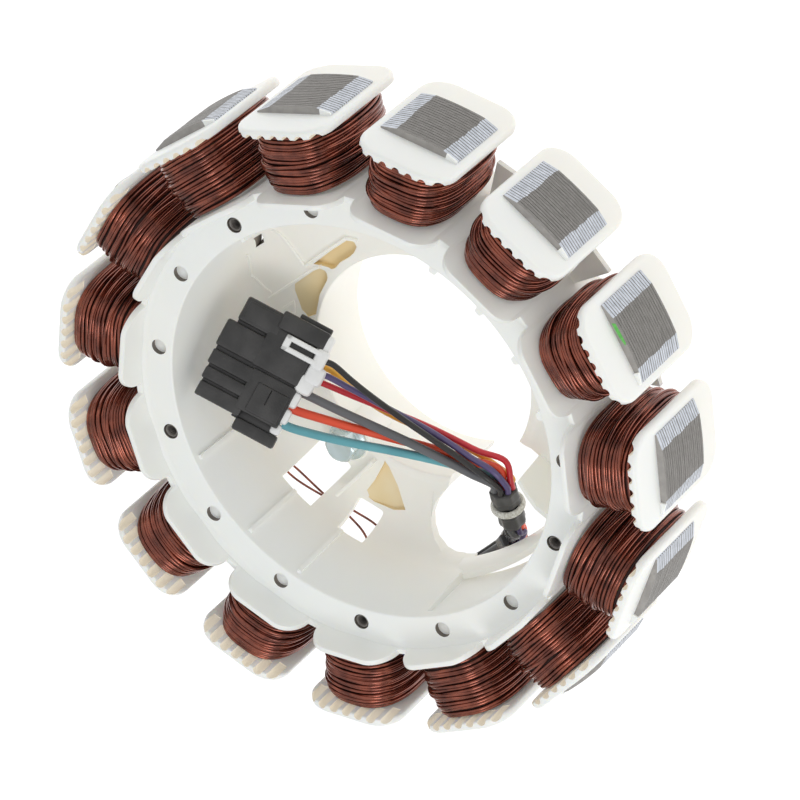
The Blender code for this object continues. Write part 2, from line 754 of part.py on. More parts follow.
# Connector: a receptacle of two wide and three narrow cells, and the plug that it holds
def plug_frame():
    columns = (PLUG_ALONG, PLUG_ACROSS, PLUG_OUT)
    frame = Matrix([[c[i] for c in columns] for i in range(3)]).to_4x4()
    frame.translation = PLUG_CORNER
    return frame


def add_block(bm, low, high, matrix):
    (x0, y0, z0), (x1, y1, z1) = low, high
    add_prism(bm, [(x0, y0), (x1, y0), (x1, y1), (x0, y1)], z0, z1, matrix)


def housing_width():
    return WIDE_CELLS * WIDE_CELL + NARROW_CELLS * NARROW_CELL


def connector_housing(finish):
    frame = plug_frame()
    width = housing_width()
    foot = -HOUSING_DEPTH
    mating_x = -WIDE_CELL_SET
    bm = bmesh.new()
    add_block(bm, (mating_x, 0.0, foot), (MATING_LENGTH - WIDE_CELL_SET, width, -COLLAR_RISE), frame)
    housing = place("connector_housing", bm, finish)
    collar = bmesh.new()
    start = MATING_LENGTH - WIDE_CELL_SET - BITE
    end = start + REAR_LENGTH
    add_block(collar, (start, -COLLAR_RISE, foot + COLLAR_RISE), (end, width + COLLAR_RISE, 0.0), frame)
    combine(housing, place("collar", collar, None), "UNION")
    key = bmesh.new()
    key_low = (start + BITE, width - BITE, foot + KEY_SET)
    add_block(key, key_low, (end - BITE, width + KEY_WIDTH, -KEY_SET), frame)
    combine(housing, place("key", key, None), "UNION")
    grooves = bmesh.new()
    edges = [WIDE_CELL]
    edges += [WIDE_CELLS * WIDE_CELL + NARROW_CELL * i for i in range(NARROW_CELLS)]
    for y in edges:
        low = (mating_x - BITE, y - CELL_GROOVE / 2, -COLLAR_RISE - CELL_GROOVE_DEPTH)
        add_block(grooves, low, (start + BITE * 0.5, y + CELL_GROOVE / 2, BITE), frame)
    combine(housing, place("cell_grooves", grooves, None), "DIFFERENCE")
    socket = bmesh.new()
    room = SEAT_GAP
    thin_end = THIN_SIDE_WIDTH + room
    deep = end - PLUG_BODY_LENGTH - room
    low = (deep, PLUG_SIDE_SET - room, foot + PLUG_FOOT_SET - room)
    high = (end + BITE, thin_end + THICK_SIDE_WIDTH, foot + PLUG_FOOT_SET + PLUG_DEPTH + room)
    add_block(socket, low, high, frame)
    combine(housing, place("socket", socket, None), "DIFFERENCE")
    housing.data.materials.clear()
    housing.data.materials.append(finish)
    return end


def connector_plug(finish, housing_end):
    frame = plug_frame()
    foot = -HOUSING_DEPTH + PLUG_FOOT_SET
    top = foot + PLUG_DEPTH
    start = housing_end - PLUG_BODY_LENGTH
    thin_x = housing_end + PLUG_BODY_LENGTH
    bm = bmesh.new()
    add_block(bm, (start, PLUG_SIDE_SET, foot), (thin_x, THIN_SIDE_WIDTH, top), frame)
    plug = place("connector_plug", bm, finish)
    wide = bmesh.new()
    side = THIN_SIDE_WIDTH + THICK_SIDE_WIDTH
    add_block(wide, (start, THIN_SIDE_WIDTH - BITE, foot), (housing_end + THICK_SIDE_OUT, side, top), frame)
    combine(plug, place("thick_side", wide, None), "UNION")
    latch = bmesh.new()
    y0 = THIN_SIDE_WIDTH * 0.5 - LATCH_W / 2
    root_x = housing_end + LATCH_EDGE
    x0 = root_x - LATCH_LENGTH
    back_x = thin_x - LATCH_EDGE
    outline = [
        (x0, SEAT_GAP),
        (root_x, SEAT_GAP),
        (root_x, top - BITE),
        (back_x, top - BITE),
        (back_x, LATCH_RISE * 0.5),
        (back_x - LATCH_EDGE, LATCH_RISE + SEAT_GAP),
        (x0, LATCH_RISE + SEAT_GAP),
    ]
    on_edge = frame @ Matrix.Rotation(pi / 2, 4, "X")
    add_prism(latch, outline, -(y0 + LATCH_W), -y0, on_edge)
    combine(plug, place("latch", latch, None), "UNION")
    gap = bmesh.new()
    low = (x0 + LATCH_BAR, y0 + LATCH_BAR, -BITE)
    add_block(gap, low, (root_x - LATCH_EDGE, y0 + LATCH_W - LATCH_BAR, LATCH_RISE + BITE), frame)
    combine(plug, place("latch_gap", gap, None), "DIFFERENCE")
    plug.data.materials.clear()
    plug.data.materials.append(finish)
    return thin_x


# Cords: a smooth curve through chosen points, a round tube along it
def smooth_route(points, count):
    knots = [points[0] * 2 - points[1]] + points + [points[-1] * 2 - points[-2]]
    fine = []
    for i in range(1, len(knots) - 2):
        a, b, c, d = knots[i - 1:i + 3]
        for step in range(16):
            t = step / 16
            bend = (2 * a - 5 * b + 4 * c - d) * t**2 + (3 * b - a - 3 * c + d) * t**3
            fine.append((2 * b + (c - a) * t + bend) * 0.5)
    fine.append(points[-1])
    lengths = [0.0]
    for p, q in zip(fine[:-1], fine[1:]):
        lengths.append(lengths[-1] + (q - p).length)
    even = []
    j = 0
    for i in range(count):
        want = lengths[-1] * i / (count - 1)
        while j < len(fine) - 2 and lengths[j + 1] < want:
            j += 1
        part = (want - lengths[j]) / max(lengths[j + 1] - lengths[j], 1e-9)
        even.append(fine[j].lerp(fine[j + 1], min(max(part, 0.0), 1.0)))
    return even


def straight_ended(route, count):
    return [route[0]] + smooth_route(route[1:-1], count - 2) + [route[-1]]


def cord(name, points, diameter, finish):
    curve = bpy.data.curves.new(name, "CURVE")
    curve.dimensions = "3D"
    curve.bevel_depth = diameter / 2
    curve.bevel_resolution = 2
    curve.use_fill_caps = True
    spline = curve.splines.new("POLY")
    spline.points.add(len(points) - 1)
    for spot, p in zip(spline.points, points):
        spot.co = (*p, 1.0)
    curve.materials.append(finish)
    item = bpy.data.objects.new(name, curve)
    bpy.context.scene.collection.objects.link(item)
    return item


# Each lead: colour, diameter, exit from the plug, place in the sleeve's mouth, and its run, all in mm
LEADS = (
    ("black", (0.015, 0.015, 0.017), THIN_LEAD, (10.4, -3.0), (-1.70, 2.50), (
        (5.9, 24.1, 45.4), (1.3, 18.1, 46.2), (-3.1, 12.0, 46.8),
        (-7.5, 5.7, 47.1), (-11.8, -0.6, 47.3), (-16.1, -7.0, 47.3),
        (-20.5, -13.3, 47.2), (-24.9, -19.7, 47.2), (-29.4, -26.9, 48.1),
        (-35.1, -29.5, 45.1))),
    ("purple", (0.055, 0.035, 0.110), THIN_LEAD, (14.6, -5.5), (0.68, 2.91), (
        (1.8, 26.5, 46.1), (-2.0, 19.8, 45.6), (-5.7, 13.0, 45.1),
        (-9.4, 6.2, 44.7), (-13.0, -0.7, 44.4), (-16.7, -7.6, 44.3),
        (-20.5, -14.4, 44.6), (-24.5, -21.2, 45.2), (-28.4, -29.2, 46.1),
        (-34.9, -31.5, 43.7))),
    ("red", (0.560, 0.020, 0.022), THIN_LEAD, (17.2, -8.3), (2.71, 1.66), (
        (-1.3, 28.7, 45.6), (-4.7, 21.7, 44.6), (-7.9, 14.7, 43.6),
        (-11.1, 7.5, 42.7), (-14.1, 0.3, 41.9), (-17.3, -7.0, 41.4),
        (-20.7, -14.3, 41.2), (-24.2, -21.7, 41.0), (-27.4, -30.8, 40.4),
        (-34.3, -32.0, 41.5))),
    ("yellow", (0.800, 0.420, 0.030), THIN_LEAD, (12.4, -9.4), (3.24, -0.81), (
        (1.8, 28.0, 41.9), (-4.7, 22.3, 40.9), (-10.4, 16.1, 40.0),
        (-14.7, 9.3, 39.3), (-18.0, 2.0, 38.8), (-20.9, -5.6, 38.4),
        (-23.7, -12.9, 38.3), (-26.7, -19.6, 38.4), (-30.2, -25.6, 38.7),
        (-34.0, -31.0, 39.2))),
    ("grey", (0.085, 0.087, 0.092), THICK_LEAD, (22.6, -5.6), (-2.77, -0.29), (
        (-2.0, 32.4, 52.2), (-5.3, 25.6, 51.8), (-8.6, 18.8, 51.3),
        (-11.8, 12.0, 50.7), (-15.0, 5.2, 50.1), (-18.4, -1.5, 49.3),
        (-22.2, -8.0, 48.3), (-26.1, -14.4, 47.1), (-30.2, -20.6, 45.8),
        (-34.3, -26.8, 44.0))),
    ("orange", (0.780, 0.075, 0.020), THICK_LEAD, (28.6, -5.6), (0.52, -0.07), (
        (-6.5, 34.0, 55.8), (-9.5, 26.8, 53.9), (-12.5, 19.6, 52.0),
        (-15.3, 12.2, 49.9), (-18.2, 4.8, 47.8), (-20.9, -3.0, 45.9),
        (-23.7, -10.9, 44.4), (-26.6, -19.1, 43.4), (-29.0, -28.8, 42.9),
        (-34.0, -29.3, 41.9))),
    ("teal", (0.075, 0.330, 0.360), THICK_LEAD, (34.4, -5.6), (-0.79, -3.05), (
        (-10.9, 35.5, 59.3), (-13.6, 28.6, 57.4), (-16.1, 21.7, 55.4),
        (-18.4, 14.8, 53.2), (-20.6, 7.9, 50.9), (-22.9, 1.0, 48.7),
        (-25.3, -5.8, 46.5), (-27.8, -12.6, 44.5), (-30.5, -19.4, 42.5),
        (-33.2, -26.3, 40.9))),
)


def sleeve_axes():
    along = (SLEEVE_TUBE_END - SLEEVE_TUBE_TOP).normalized()
    side = (SLEEVE_TUBE_SIDE - along * SLEEVE_TUBE_SIDE.dot(along)).normalized()
    return along, side, side.cross(along).normalized()


def leads(thin_x, thick_x):
    frame = plug_frame()
    along, side, up = sleeve_axes()
    if up.z < 0:
        up = -up
    for name, colour, diameter, (across, out), (a, b), points in LEADS:
        finish = material("lead_" + name, colour, 0.45)
        plug_x = thin_x if diameter == THIN_LEAD else thick_x
        start = frame @ Vector((plug_x + SEAT_GAP, across / 1000, out / 1000))
        end = SLEEVE_TUBE_TOP + side * (a / 1000) + up * (b / 1000) - along * SEAT_GAP
        run = [Vector(p) / 1000 for p in points]
        cord("lead_" + name, [start] + run + [end], diameter, finish)


# Taped sleeve, lacing cord, tail and tie of the lead set
TAIL_ROUTE = (
    (-0.0570, -0.0248, 0.0332),
    (-0.0620, -0.0210, 0.0290),
    (-0.0670, -0.0150, 0.0272),
    (-0.0715, -0.0080, 0.0285),
    (-0.0745, -0.0020, 0.0325),
)


def look_along(centre, direction):
    frame = direction.to_track_quat("Z", "Y").to_matrix().to_4x4()
    frame.translation = centre
    return frame


def harness(tape, lacing):
    along = sleeve_axes()[0]
    length = (SLEEVE_TUBE_END - SLEEVE_TUBE_TOP).length
    ring = CORD_R * 2 + SEAT_GAP
    groove_r = SLEEVE_TUBE_R - CORD_R
    at = CORD_PLACE
    levels = (
        (SLEEVE_TUBE_R, 0.0), (SLEEVE_TUBE_R, at - ring / 2), (groove_r, at - ring / 2),
        (groove_r, at + ring / 2), (SLEEVE_TUBE_R, at + ring / 2), (SLEEVE_TUBE_R * 0.94, length),
    )
    bm = bmesh.new()
    rings = [[(x, y, z) for x, y in circle(r, 16)] for r, z in levels]
    add_loft(bm, rings, look_along(SLEEVE_TUBE_TOP, along))
    place("harness_sleeve", bm, tape)
    bm = bmesh.new()
    near, far = groove_r + SEAT_GAP, groove_r + SEAT_GAP + CORD_R * 2
    mid_r = (near + far) / 2
    section = [(mid_r + CORD_R * cos(pi * i / 3), CORD_R * sin(pi * i / 3)) for i in range(6)]
    add_lathe(bm, section, 16)
    bmesh.ops.transform(bm, matrix=look_along(SLEEVE_TUBE_TOP + along * at, along), verts=bm.verts[:])
    place("lacing_cord", bm, lacing)
    start = SLEEVE_TUBE_END + along * SEAT_GAP
    end = Vector((-(SLOT_OUT_R + WALL_IN_R) / 2, COVER_FROM_Y - SEAT_GAP, TAIL_TOP_Z))
    before = end - Vector((0.0, TAIL_STUB, 0.0))
    route = [start, start + along * TAIL_STUB] + [Vector(p) for p in TAIL_ROUTE] + [before, end]
    spine = straight_ended(route, TAIL_POINTS)
    cord("harness_tail", spine, TAIL_DIAMETER, tape)
    return spine


def cable_tie(spine, finish):
    i = int(TIE_PLACE * (len(spine) - 1))
    direction = (spine[i + 1] - spine[i]).normalized()
    centre = (spine[i] + spine[i + 1]) / 2
    frame = look_along(centre, direction)
    near = TAIL_DIAMETER / 2 + SEAT_GAP
    far = near + TIE_THICK
    half = TIE_WIDTH / 2
    bm = bmesh.new()
    add_lathe(bm, [(near, -half), (far, -half), (far, half), (near, half)], 14)
    bmesh.ops.transform(bm, matrix=frame, verts=bm.verts[:])
    band = place("cable_tie", bm, finish)
    inward = Vector((-centre.x, -centre.y, 0.0)).normalized()
    head_x = (inward - direction * inward.dot(direction)).normalized()
    head_y = direction.cross(head_x)
    seat = Matrix([[v[k] for v in (head_x, head_y, direction)] for k in range(3)]).to_4x4()
    seat.translation = centre
    head = bmesh.new()
    low = (near + TIE_THICK * 0.4, -TIE_HEAD.y / 2, -TIE_HEAD.z / 2)
    add_block(head, low, (near + TIE_HEAD.x, TIE_HEAD.y / 2, TIE_HEAD.z / 2), seat)
    combine(band, place("tie_head", head, None), "UNION")
    band.data.materials.clear()
    band.data.materials.append(finish)


# Terminal cover under the ring, where the lead set meets the coil ends
def terminal_cover(finish):
    near = SLOT_OUT_R + SEAT_GAP
    far = WALL_IN_R - RING_FILLET
    top = REAR_Z - SEAT_GAP
    bm = bmesh.new()
    bend = sqrt(far**2 - COVER_TO_Y**2)
    outline = [
        (-sqrt(far**2 - COVER_FROM_Y**2), COVER_FROM_Y),
        (-near, COVER_FROM_Y),
        (-near + 0.0008, COVER_TO_Y),
        (-bend, COVER_TO_Y),
    ]
    add_prism(bm, outline, top - COVER_DEPTH, top)
    place("terminal_cover", bm, finish)


# Crossover wires: each leaves one coil, runs round behind the dish and rises to another
# Stations: angle, share of the wall's inner radius, share of the ring's rear height
CROSSOVERS = (
    ("crossover_wire_1", (
        (111.0, 0.9870, 0.8511), (117.0, 0.9383, 0.7470), (124.3, 0.9111, 0.7045), (134.5, 0.8988, 0.6998),
        (143.7, 0.9037, 0.6998), (151.0, 0.9407, 0.7329), (156.5, 1.0074, 0.9220))),
    ("crossover_wire_2", (
        (108.0, 1.0074, 0.9220), (109.2, 0.9605, 0.7801), (117.0, 0.9827, 0.6596), (125.4, 0.9877, 0.6430),
        (134.2, 0.9432, 0.6383), (144.0, 0.8963, 0.6336), (153.5, 0.9012, 0.6525), (161.0, 0.9870, 0.7920))),
)


def crossover_wires(finish):
    for name, stations in CROSSOVERS:
        route = [at_angle(radians(turn), WALL_IN_R * r, REAR_Z * z) for turn, r, z in stations]
        cord(name, smooth_route(route, CROSSOVER_POINTS), CROSSOVER_D, finish)


def build():
    clear_scene()
    nylon = material("natural_nylon", (0.86, 0.85, 0.80), 0.45)
    steel = material("laminated_steel", (0.30, 0.30, 0.30), 0.40, 1.0)
    enamel = material("enamelled_wire", (0.20, 0.045, 0.020), 0.30)
    zinc = material("zinc_plate", (0.62, 0.68, 0.70), 0.25, 1.0)
    charcoal = material("charcoal_plastic", (0.035, 0.035, 0.036), 0.50)
    tape = material("harness_tape", (0.045, 0.046, 0.048), 0.60)
    lacing = material("lacing_cord", (0.72, 0.70, 0.62), 0.80)
    insulator(nylon)
    core_solid("stator_core", steel, 0.0)
    coils(enamel)
    inserts(zinc)
    flange_bolt(zinc)
    crossover_wires(enamel)
    housing_end = connector_housing(charcoal)
    thin_x = connector_plug(nylon, housing_end)
    leads(thin_x, housing_end + THICK_SIDE_OUT)
    cable_tie(harness(tape, lacing), charcoal)
    terminal_cover(nylon)


build()
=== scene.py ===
import bmesh
import bpy
import random
from math import cos, pi, radians, sin, sqrt
from mathutils import Matrix, Vector


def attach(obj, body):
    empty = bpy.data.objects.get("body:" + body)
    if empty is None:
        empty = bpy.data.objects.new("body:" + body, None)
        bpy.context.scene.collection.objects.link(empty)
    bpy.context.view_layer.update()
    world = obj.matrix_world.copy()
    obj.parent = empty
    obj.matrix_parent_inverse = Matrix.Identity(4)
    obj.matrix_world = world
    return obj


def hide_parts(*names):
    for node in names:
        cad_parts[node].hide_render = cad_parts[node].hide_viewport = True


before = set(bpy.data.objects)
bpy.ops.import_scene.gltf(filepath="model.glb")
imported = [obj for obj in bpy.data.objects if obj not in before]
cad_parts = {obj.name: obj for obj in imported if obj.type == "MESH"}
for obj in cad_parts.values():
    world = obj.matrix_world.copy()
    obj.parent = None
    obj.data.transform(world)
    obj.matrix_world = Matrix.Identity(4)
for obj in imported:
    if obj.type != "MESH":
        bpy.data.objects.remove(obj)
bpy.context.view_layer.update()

# The photographer's side: a long lens about one and three quarter metres away, rolled so that the stator
# leans to the left, over a white sweep with large soft lamps.
camera_data = bpy.data.cameras.new("camera")
camera_data.lens = 223.2
camera_data.sensor_width = 36.0
camera_data.clip_end = 20.0
camera = bpy.data.objects.new("camera", camera_data)
camera_right = Vector((-0.19197, -0.84501, -0.49911))
camera_up = Vector((0.89333, 0.06010, -0.44536))
camera_back = Vector((0.40633, -0.53137, 0.74333))
camera.matrix_world = Matrix([[v[i] for v in (camera_right, camera_up, camera_back)] for i in range(3)]).to_4x4()
camera.location = (0.64677, -0.85108, 1.23786)
bpy.context.scene.collection.objects.link(camera)
bpy.context.scene.camera = camera
bpy.context.scene.view_settings.view_transform = "Standard"

world = bpy.data.worlds.new("studio")
world.use_nodes = True
sky_nodes, sky_link = world.node_tree.nodes, world.node_tree.links.new
sky_nodes["Background"].inputs["Strength"].default_value = 0.75
sky_place = sky_nodes.new("ShaderNodeTexCoord")
sky_split = sky_nodes.new("ShaderNodeSeparateXYZ")
sky_height = sky_nodes.new("ShaderNodeMapRange")
sky_height.inputs["From Min"].default_value = 0.05
sky_height.inputs["From Max"].default_value = 0.60
sky_blend = sky_nodes.new("ShaderNodeMix")
sky_blend.data_type = "RGBA"
sky_blend.inputs[6].default_value = (0.46, 0.45, 0.44, 1.0)
sky_blend.inputs[7].default_value = (0.97, 0.985, 1.0, 1.0)
sky_link(sky_place.outputs["Generated"], sky_split.inputs["Vector"])
sky_link(sky_split.outputs["Z"], sky_height.inputs["Value"])
sky_link(sky_height.outputs["Result"], sky_blend.inputs["Factor"])
sky_link(sky_blend.outputs[2], sky_nodes["Background"].inputs["Color"])
bpy.context.scene.world = world


def soft_lamp(name, place, aim, size, power, colour):
    lamp = bpy.data.lights.new(name, "AREA")
    lamp.shape = "DISK"
    lamp.size = size
    lamp.energy = power
    lamp.color = colour
    item = bpy.data.objects.new(name, lamp)
    item.location = place
    item.rotation_euler = (Vector(aim) - Vector(place)).to_track_quat("-Z", "Y").to_euler()
    bpy.context.scene.collection.objects.link(item)


soft_lamp("overhead", (-0.32, -0.42, 0.72), (0.0, 0.0, 0.05), 0.45, 1.6, (1.0, 1.0, 1.0))
soft_lamp("upper_left", (0.75, 0.65, 0.55), (0.0, 0.0, 0.05), 0.40, 0.35, (1.0, 0.99, 0.97))
soft_lamp("right", (0.10, -0.95, 0.35), (0.0, 0.0, 0.05), 0.30, 0.2, (0.97, 0.98, 1.0))

sweep_mesh = bpy.data.meshes.new("sweep")
sweep_mesh.from_pydata([(-4, -4, 0), (4, -4, 0), (4, 4, 0), (-4, 4, 0)], [], [(0, 1, 2, 3)])
sweep = bpy.data.objects.new("sweep", sweep_mesh)
bpy.context.scene.collection.objects.link(sweep)
sweep_paper = bpy.data.materials.new("sweep_paper")
sweep_paper.use_nodes = True
paper_shader = sweep_paper.node_tree.nodes["Principled BSDF"]
paper_shader.inputs["Base Color"].default_value = (0.25, 0.25, 0.25, 1.0)
paper_shader.inputs["Roughness"].default_value = 0.9
paper_shader.inputs["Emission Color"].default_value = (1.0, 1.0, 1.0, 1.0)
paper_shader.inputs["Emission Strength"].default_value = 0.96
sweep_mesh.materials.append(sweep_paper)


# Seven leads of stranded wire in coloured insulation, four thin and three thick. They come out of the taped
# sleeve, sag across the centre bore and end in the connector's cells.
def finish(name, first, second, scale, roughness, bump=0.0, bump_scale=700.0, metallic=0.0, coat=0.0,
           coat_roughness=0.18, squeeze=(1, 1, 1)):
    made = bpy.data.materials.new(name)
    made.use_nodes = True
    nodes, link = made.node_tree.nodes, made.node_tree.links.new
    shader = nodes["Principled BSDF"]
    shader.inputs["Metallic"].default_value = metallic
    shader.inputs["Coat Weight"].default_value = coat
    shader.inputs["Coat Roughness"].default_value = coat_roughness
    place = nodes.new("ShaderNodeTexCoord")
    stretch = nodes.new("ShaderNodeMapping")
    stretch.inputs["Scale"].default_value = squeeze
    link(place.outputs["Object"], stretch.inputs["Vector"])
    cloud = nodes.new("ShaderNodeTexNoise")
    cloud.inputs["Scale"].default_value = scale
    cloud.inputs["Detail"].default_value = 4.0
    link(stretch.outputs["Vector"], cloud.inputs["Vector"])
    spread = nodes.new("ShaderNodeMapRange")
    spread.inputs["From Min"].default_value = 0.36
    spread.inputs["From Max"].default_value = 0.64
    link(cloud.outputs["Fac"], spread.inputs["Value"])
    blend = nodes.new("ShaderNodeMix")
    blend.data_type = "RGBA"
    blend.inputs[6].default_value = (*first, 1.0)
    blend.inputs[7].default_value = (*second, 1.0)
    link(spread.outputs["Result"], blend.inputs["Factor"])
    link(blend.outputs[2], shader.inputs["Base Color"])
    gloss = nodes.new("ShaderNodeMapRange")
    gloss.inputs["To Min"].default_value = roughness - 0.06
    gloss.inputs["To Max"].default_value = roughness + 0.06
    link(cloud.outputs["Fac"], gloss.inputs["Value"])
    link(gloss.outputs["Result"], shader.inputs["Roughness"])
    grain = nodes.new("ShaderNodeTexNoise")
    grain.inputs["Scale"].default_value = bump_scale
    link(stretch.outputs["Vector"], grain.inputs["Vector"])
    relief = nodes.new("ShaderNodeBump")
    relief.inputs["Strength"].default_value = bump
    relief.inputs["Distance"].default_value = 0.0003
    link(grain.outputs["Fac"], relief.inputs["Height"])
    link(relief.outputs["Normal"], shader.inputs["Normal"])
    return made


def smooth(points, steps):
    knots = [points[0] * 2 - points[1]] + points + [points[-1] * 2 - points[-2]]
    fine = []
    for i in range(1, len(knots) - 2):
        a, b, c, d = knots[i - 1:i + 3]
        for step in range(steps):
            t = step / steps
            bend = (2 * a - 5 * b + 4 * c - d) * t**2 + (3 * b - a - 3 * c + d) * t**3
            fine.append((2 * b + (c - a) * t + bend) * 0.5)
    return fine + [points[-1]]


def round_curve(name, points, diameter, skin):
    curve = bpy.data.curves.new(name, "CURVE")
    curve.dimensions = "3D"
    curve.bevel_depth = diameter / 2
    curve.bevel_resolution = 5
    curve.use_fill_caps = True
    spline = curve.splines.new("POLY")
    spline.points.add(len(points) - 1)
    for spot, p in zip(spline.points, points):
        spot.co = (*p, 1.0)
    spline.use_smooth = True
    curve.materials.append(skin)
    item = bpy.data.objects.new(name, curve)
    bpy.context.scene.collection.objects.link(item)
    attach(item, "root")
    return item


plug_corner = Vector((0.03177, 0.04605, 0.05105))
plug_along = Vector((-0.5137, -0.8056, -0.2951)).normalized()
plug_across = Vector((-0.7557, 0.2619, 0.6003)).normalized()
plug_out = plug_across.cross(plug_along).normalized()
plug_place = Matrix([[c[i] for c in (plug_along, plug_across, plug_out)] for i in range(3)]).to_4x4()
plug_place.translation = plug_corner
sleeve_top = Vector((-0.0372, -0.0285, 0.0413))
sleeve_end = Vector((-0.0522, -0.0263, 0.0364))
sleeve_along = (sleeve_end - sleeve_top).normalized()
sleeve_side = Vector((0.157, -0.714, -0.682))
sleeve_side = (sleeve_side - sleeve_along * sleeve_side.dot(sleeve_along)).normalized()
sleeve_up = sleeve_side.cross(sleeve_along).normalized()
if sleeve_up.z < 0:
    sleeve_up = -sleeve_up

leads = (
    ("black", (0.016, 0.014, 0.014), (0.026, 0.023, 0.022), 0.0021, (10.4, -3.0), (-1.70, 2.50), (
        (5.9, 24.1, 45.4), (1.3, 18.1, 46.2), (-3.1, 12.0, 46.8),
        (-7.5, 5.7, 47.1), (-11.8, -0.6, 47.3), (-16.1, -7.0, 47.3),
        (-20.5, -13.3, 47.2), (-24.9, -19.7, 47.2), (-29.4, -26.9, 48.1),
        (-35.1, -29.5, 45.1))),
    ("purple", (0.085, 0.062, 0.165), (0.110, 0.082, 0.200), 0.0021, (14.6, -5.5), (0.68, 2.91), (
        (1.8, 26.5, 46.1), (-2.0, 19.8, 45.6), (-5.7, 13.0, 45.1),
        (-9.4, 6.2, 44.7), (-13.0, -0.7, 44.4), (-16.7, -7.6, 44.3),
        (-20.5, -14.4, 44.6), (-24.5, -21.2, 45.2), (-28.4, -29.2, 46.1),
        (-34.9, -31.5, 43.7))),
    ("red", (0.560, 0.020, 0.034), (0.640, 0.028, 0.042), 0.0021, (17.2, -8.3), (2.71, 1.66), (
        (-1.3, 28.7, 45.6), (-4.7, 21.7, 44.6), (-7.9, 14.7, 43.6),
        (-11.1, 7.5, 42.7), (-14.1, 0.3, 41.9), (-17.3, -7.0, 41.4),
        (-20.7, -14.3, 41.2), (-24.2, -21.7, 41.0), (-27.4, -30.8, 40.4),
        (-34.3, -32.0, 41.5))),
    ("yellow", (0.800, 0.400, 0.040), (0.880, 0.460, 0.055), 0.0021, (12.4, -9.4), (3.24, -0.81), (
        (1.8, 28.0, 41.9), (-4.7, 22.3, 40.9), (-10.4, 16.1, 40.0),
        (-14.7, 9.3, 39.3), (-18.0, 2.0, 38.8), (-20.9, -5.6, 38.4),
        (-23.7, -12.9, 38.3), (-26.7, -19.6, 38.4), (-30.2, -25.6, 38.7),
        (-34.0, -31.0, 39.2))),
    ("grey", (0.098, 0.098, 0.104), (0.125, 0.125, 0.132), 0.0030, (22.6, -5.6), (-2.77, -0.29), (
        (-2.0, 32.4, 52.2), (-5.3, 25.6, 51.8), (-8.6, 18.8, 51.3),
        (-11.8, 12.0, 50.7), (-15.0, 5.2, 50.1), (-18.4, -1.5, 49.3),
        (-22.2, -8.0, 48.3), (-26.1, -14.4, 47.1), (-30.2, -20.6, 45.8),
        (-34.3, -26.8, 44.0))),
    ("orange", (0.700, 0.062, 0.020), (0.790, 0.080, 0.026), 0.0030, (28.6, -5.6), (0.52, -0.07), (
        (-6.5, 34.0, 55.8), (-9.5, 26.8, 53.9), (-12.5, 19.6, 52.0),
        (-15.3, 12.2, 49.9), (-18.2, 4.8, 47.8), (-20.9, -3.0, 45.9),
        (-23.7, -10.9, 44.4), (-26.6, -19.1, 43.4), (-29.0, -28.8, 42.9),
        (-34.0, -29.3, 41.9))),
    ("teal", (0.100, 0.330, 0.380), (0.125, 0.390, 0.440), 0.0030, (34.4, -5.6), (-0.79, -3.05), (
        (-10.9, 35.5, 59.3), (-13.6, 28.6, 57.4), (-16.1, 21.7, 55.4),
        (-18.4, 14.8, 53.2), (-20.6, 7.9, 50.9), (-22.9, 1.0, 48.7),
        (-25.3, -5.8, 46.5), (-27.8, -12.6, 44.5), (-30.5, -19.4, 42.5),
        (-33.2, -26.3, 40.9))),
)
for name, first, second, diameter, (across, out), (a, b), points in leads:
    cell_mouth = 0.0283 if diameter < 0.0025 else 0.0237
    start = plug_place @ Vector((cell_mouth + 0.0003, across / 1000, out / 1000))
    end = sleeve_top + sleeve_side * (a / 1000) + sleeve_up * (b / 1000) - sleeve_along * 0.0003
    route = smooth([end] + [Vector(p) / 1000 for p in points[::-1]] + [start], 6)
    skin = finish("lead_" + name, first, second, 60.0, 0.34, 0.04, 1500.0, coat=0.15)
    lead = round_curve("lead_%s_skin" % name, route, diameter, skin)
    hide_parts("lead_" + name)


# Sleeve of dull black tape wound round the seven leads where they dip behind the lip. A white twine is lashed
# over it, and below it the leads run on as one bundle, up to the terminal cover under the ring.
def solid(name, verts, faces, skin, angle=35.0):
    mesh = bpy.data.meshes.new(name)
    mesh.from_pydata([tuple(v) for v in verts], [], faces)
    if skin is not None:
        mesh.materials.append(skin)
    work = bmesh.new()
    work.from_mesh(mesh)
    bmesh.ops.recalc_face_normals(work, faces=work.faces[:])
    work.to_mesh(mesh)
    work.free()
    mesh.shade_smooth()
    mesh.set_sharp_from_angle(angle=radians(angle))
    item = bpy.data.objects.new(name, mesh)
    bpy.context.scene.collection.objects.link(item)
    return item


def lofted(rings, closed=False):
    count = len(rings[0])
    verts = [p for ring in rings for p in ring]
    faces = []
    for i in range(len(rings) if closed else len(rings) - 1):
        a, b = i * count, (i + 1) % len(rings) * count
        faces += [(a + j, a + (j + 1) % count, b + (j + 1) % count, b + j) for j in range(count)]
    if not closed:
        faces += [tuple(range(count))[::-1], tuple(range(len(verts) - count, len(verts)))]
    return verts, faces


def merged(parts):
    verts, faces = [], []
    for part_verts, part_faces in parts:
        base = len(verts)
        verts += part_verts
        faces += [tuple(base + i for i in face) for face in part_faces]
    return verts, faces


def tube(points, radius, sides, closed=False):
    side = Vector((0.31, 0.27, 0.91))
    rings = []
    count = len(points)
    for i, p in enumerate(points):
        before = points[(i - 1) % count] if closed else points[max(i - 1, 0)]
        after = points[(i + 1) % count] if closed else points[min(i + 1, count - 1)]
        along = (after - before).normalized()
        side = (side - along * side.dot(along)).normalized()
        up = along.cross(side)
        turns = [2 * pi * k / sides for k in range(sides)]
        rings.append([p + (side * cos(a) + up * sin(a)) * radius for a in turns])
    return lofted(rings, closed)


def ring_frame(centre, along):
    place = along.to_track_quat("Z", "Y").to_matrix().to_4x4()
    place.translation = centre
    return place


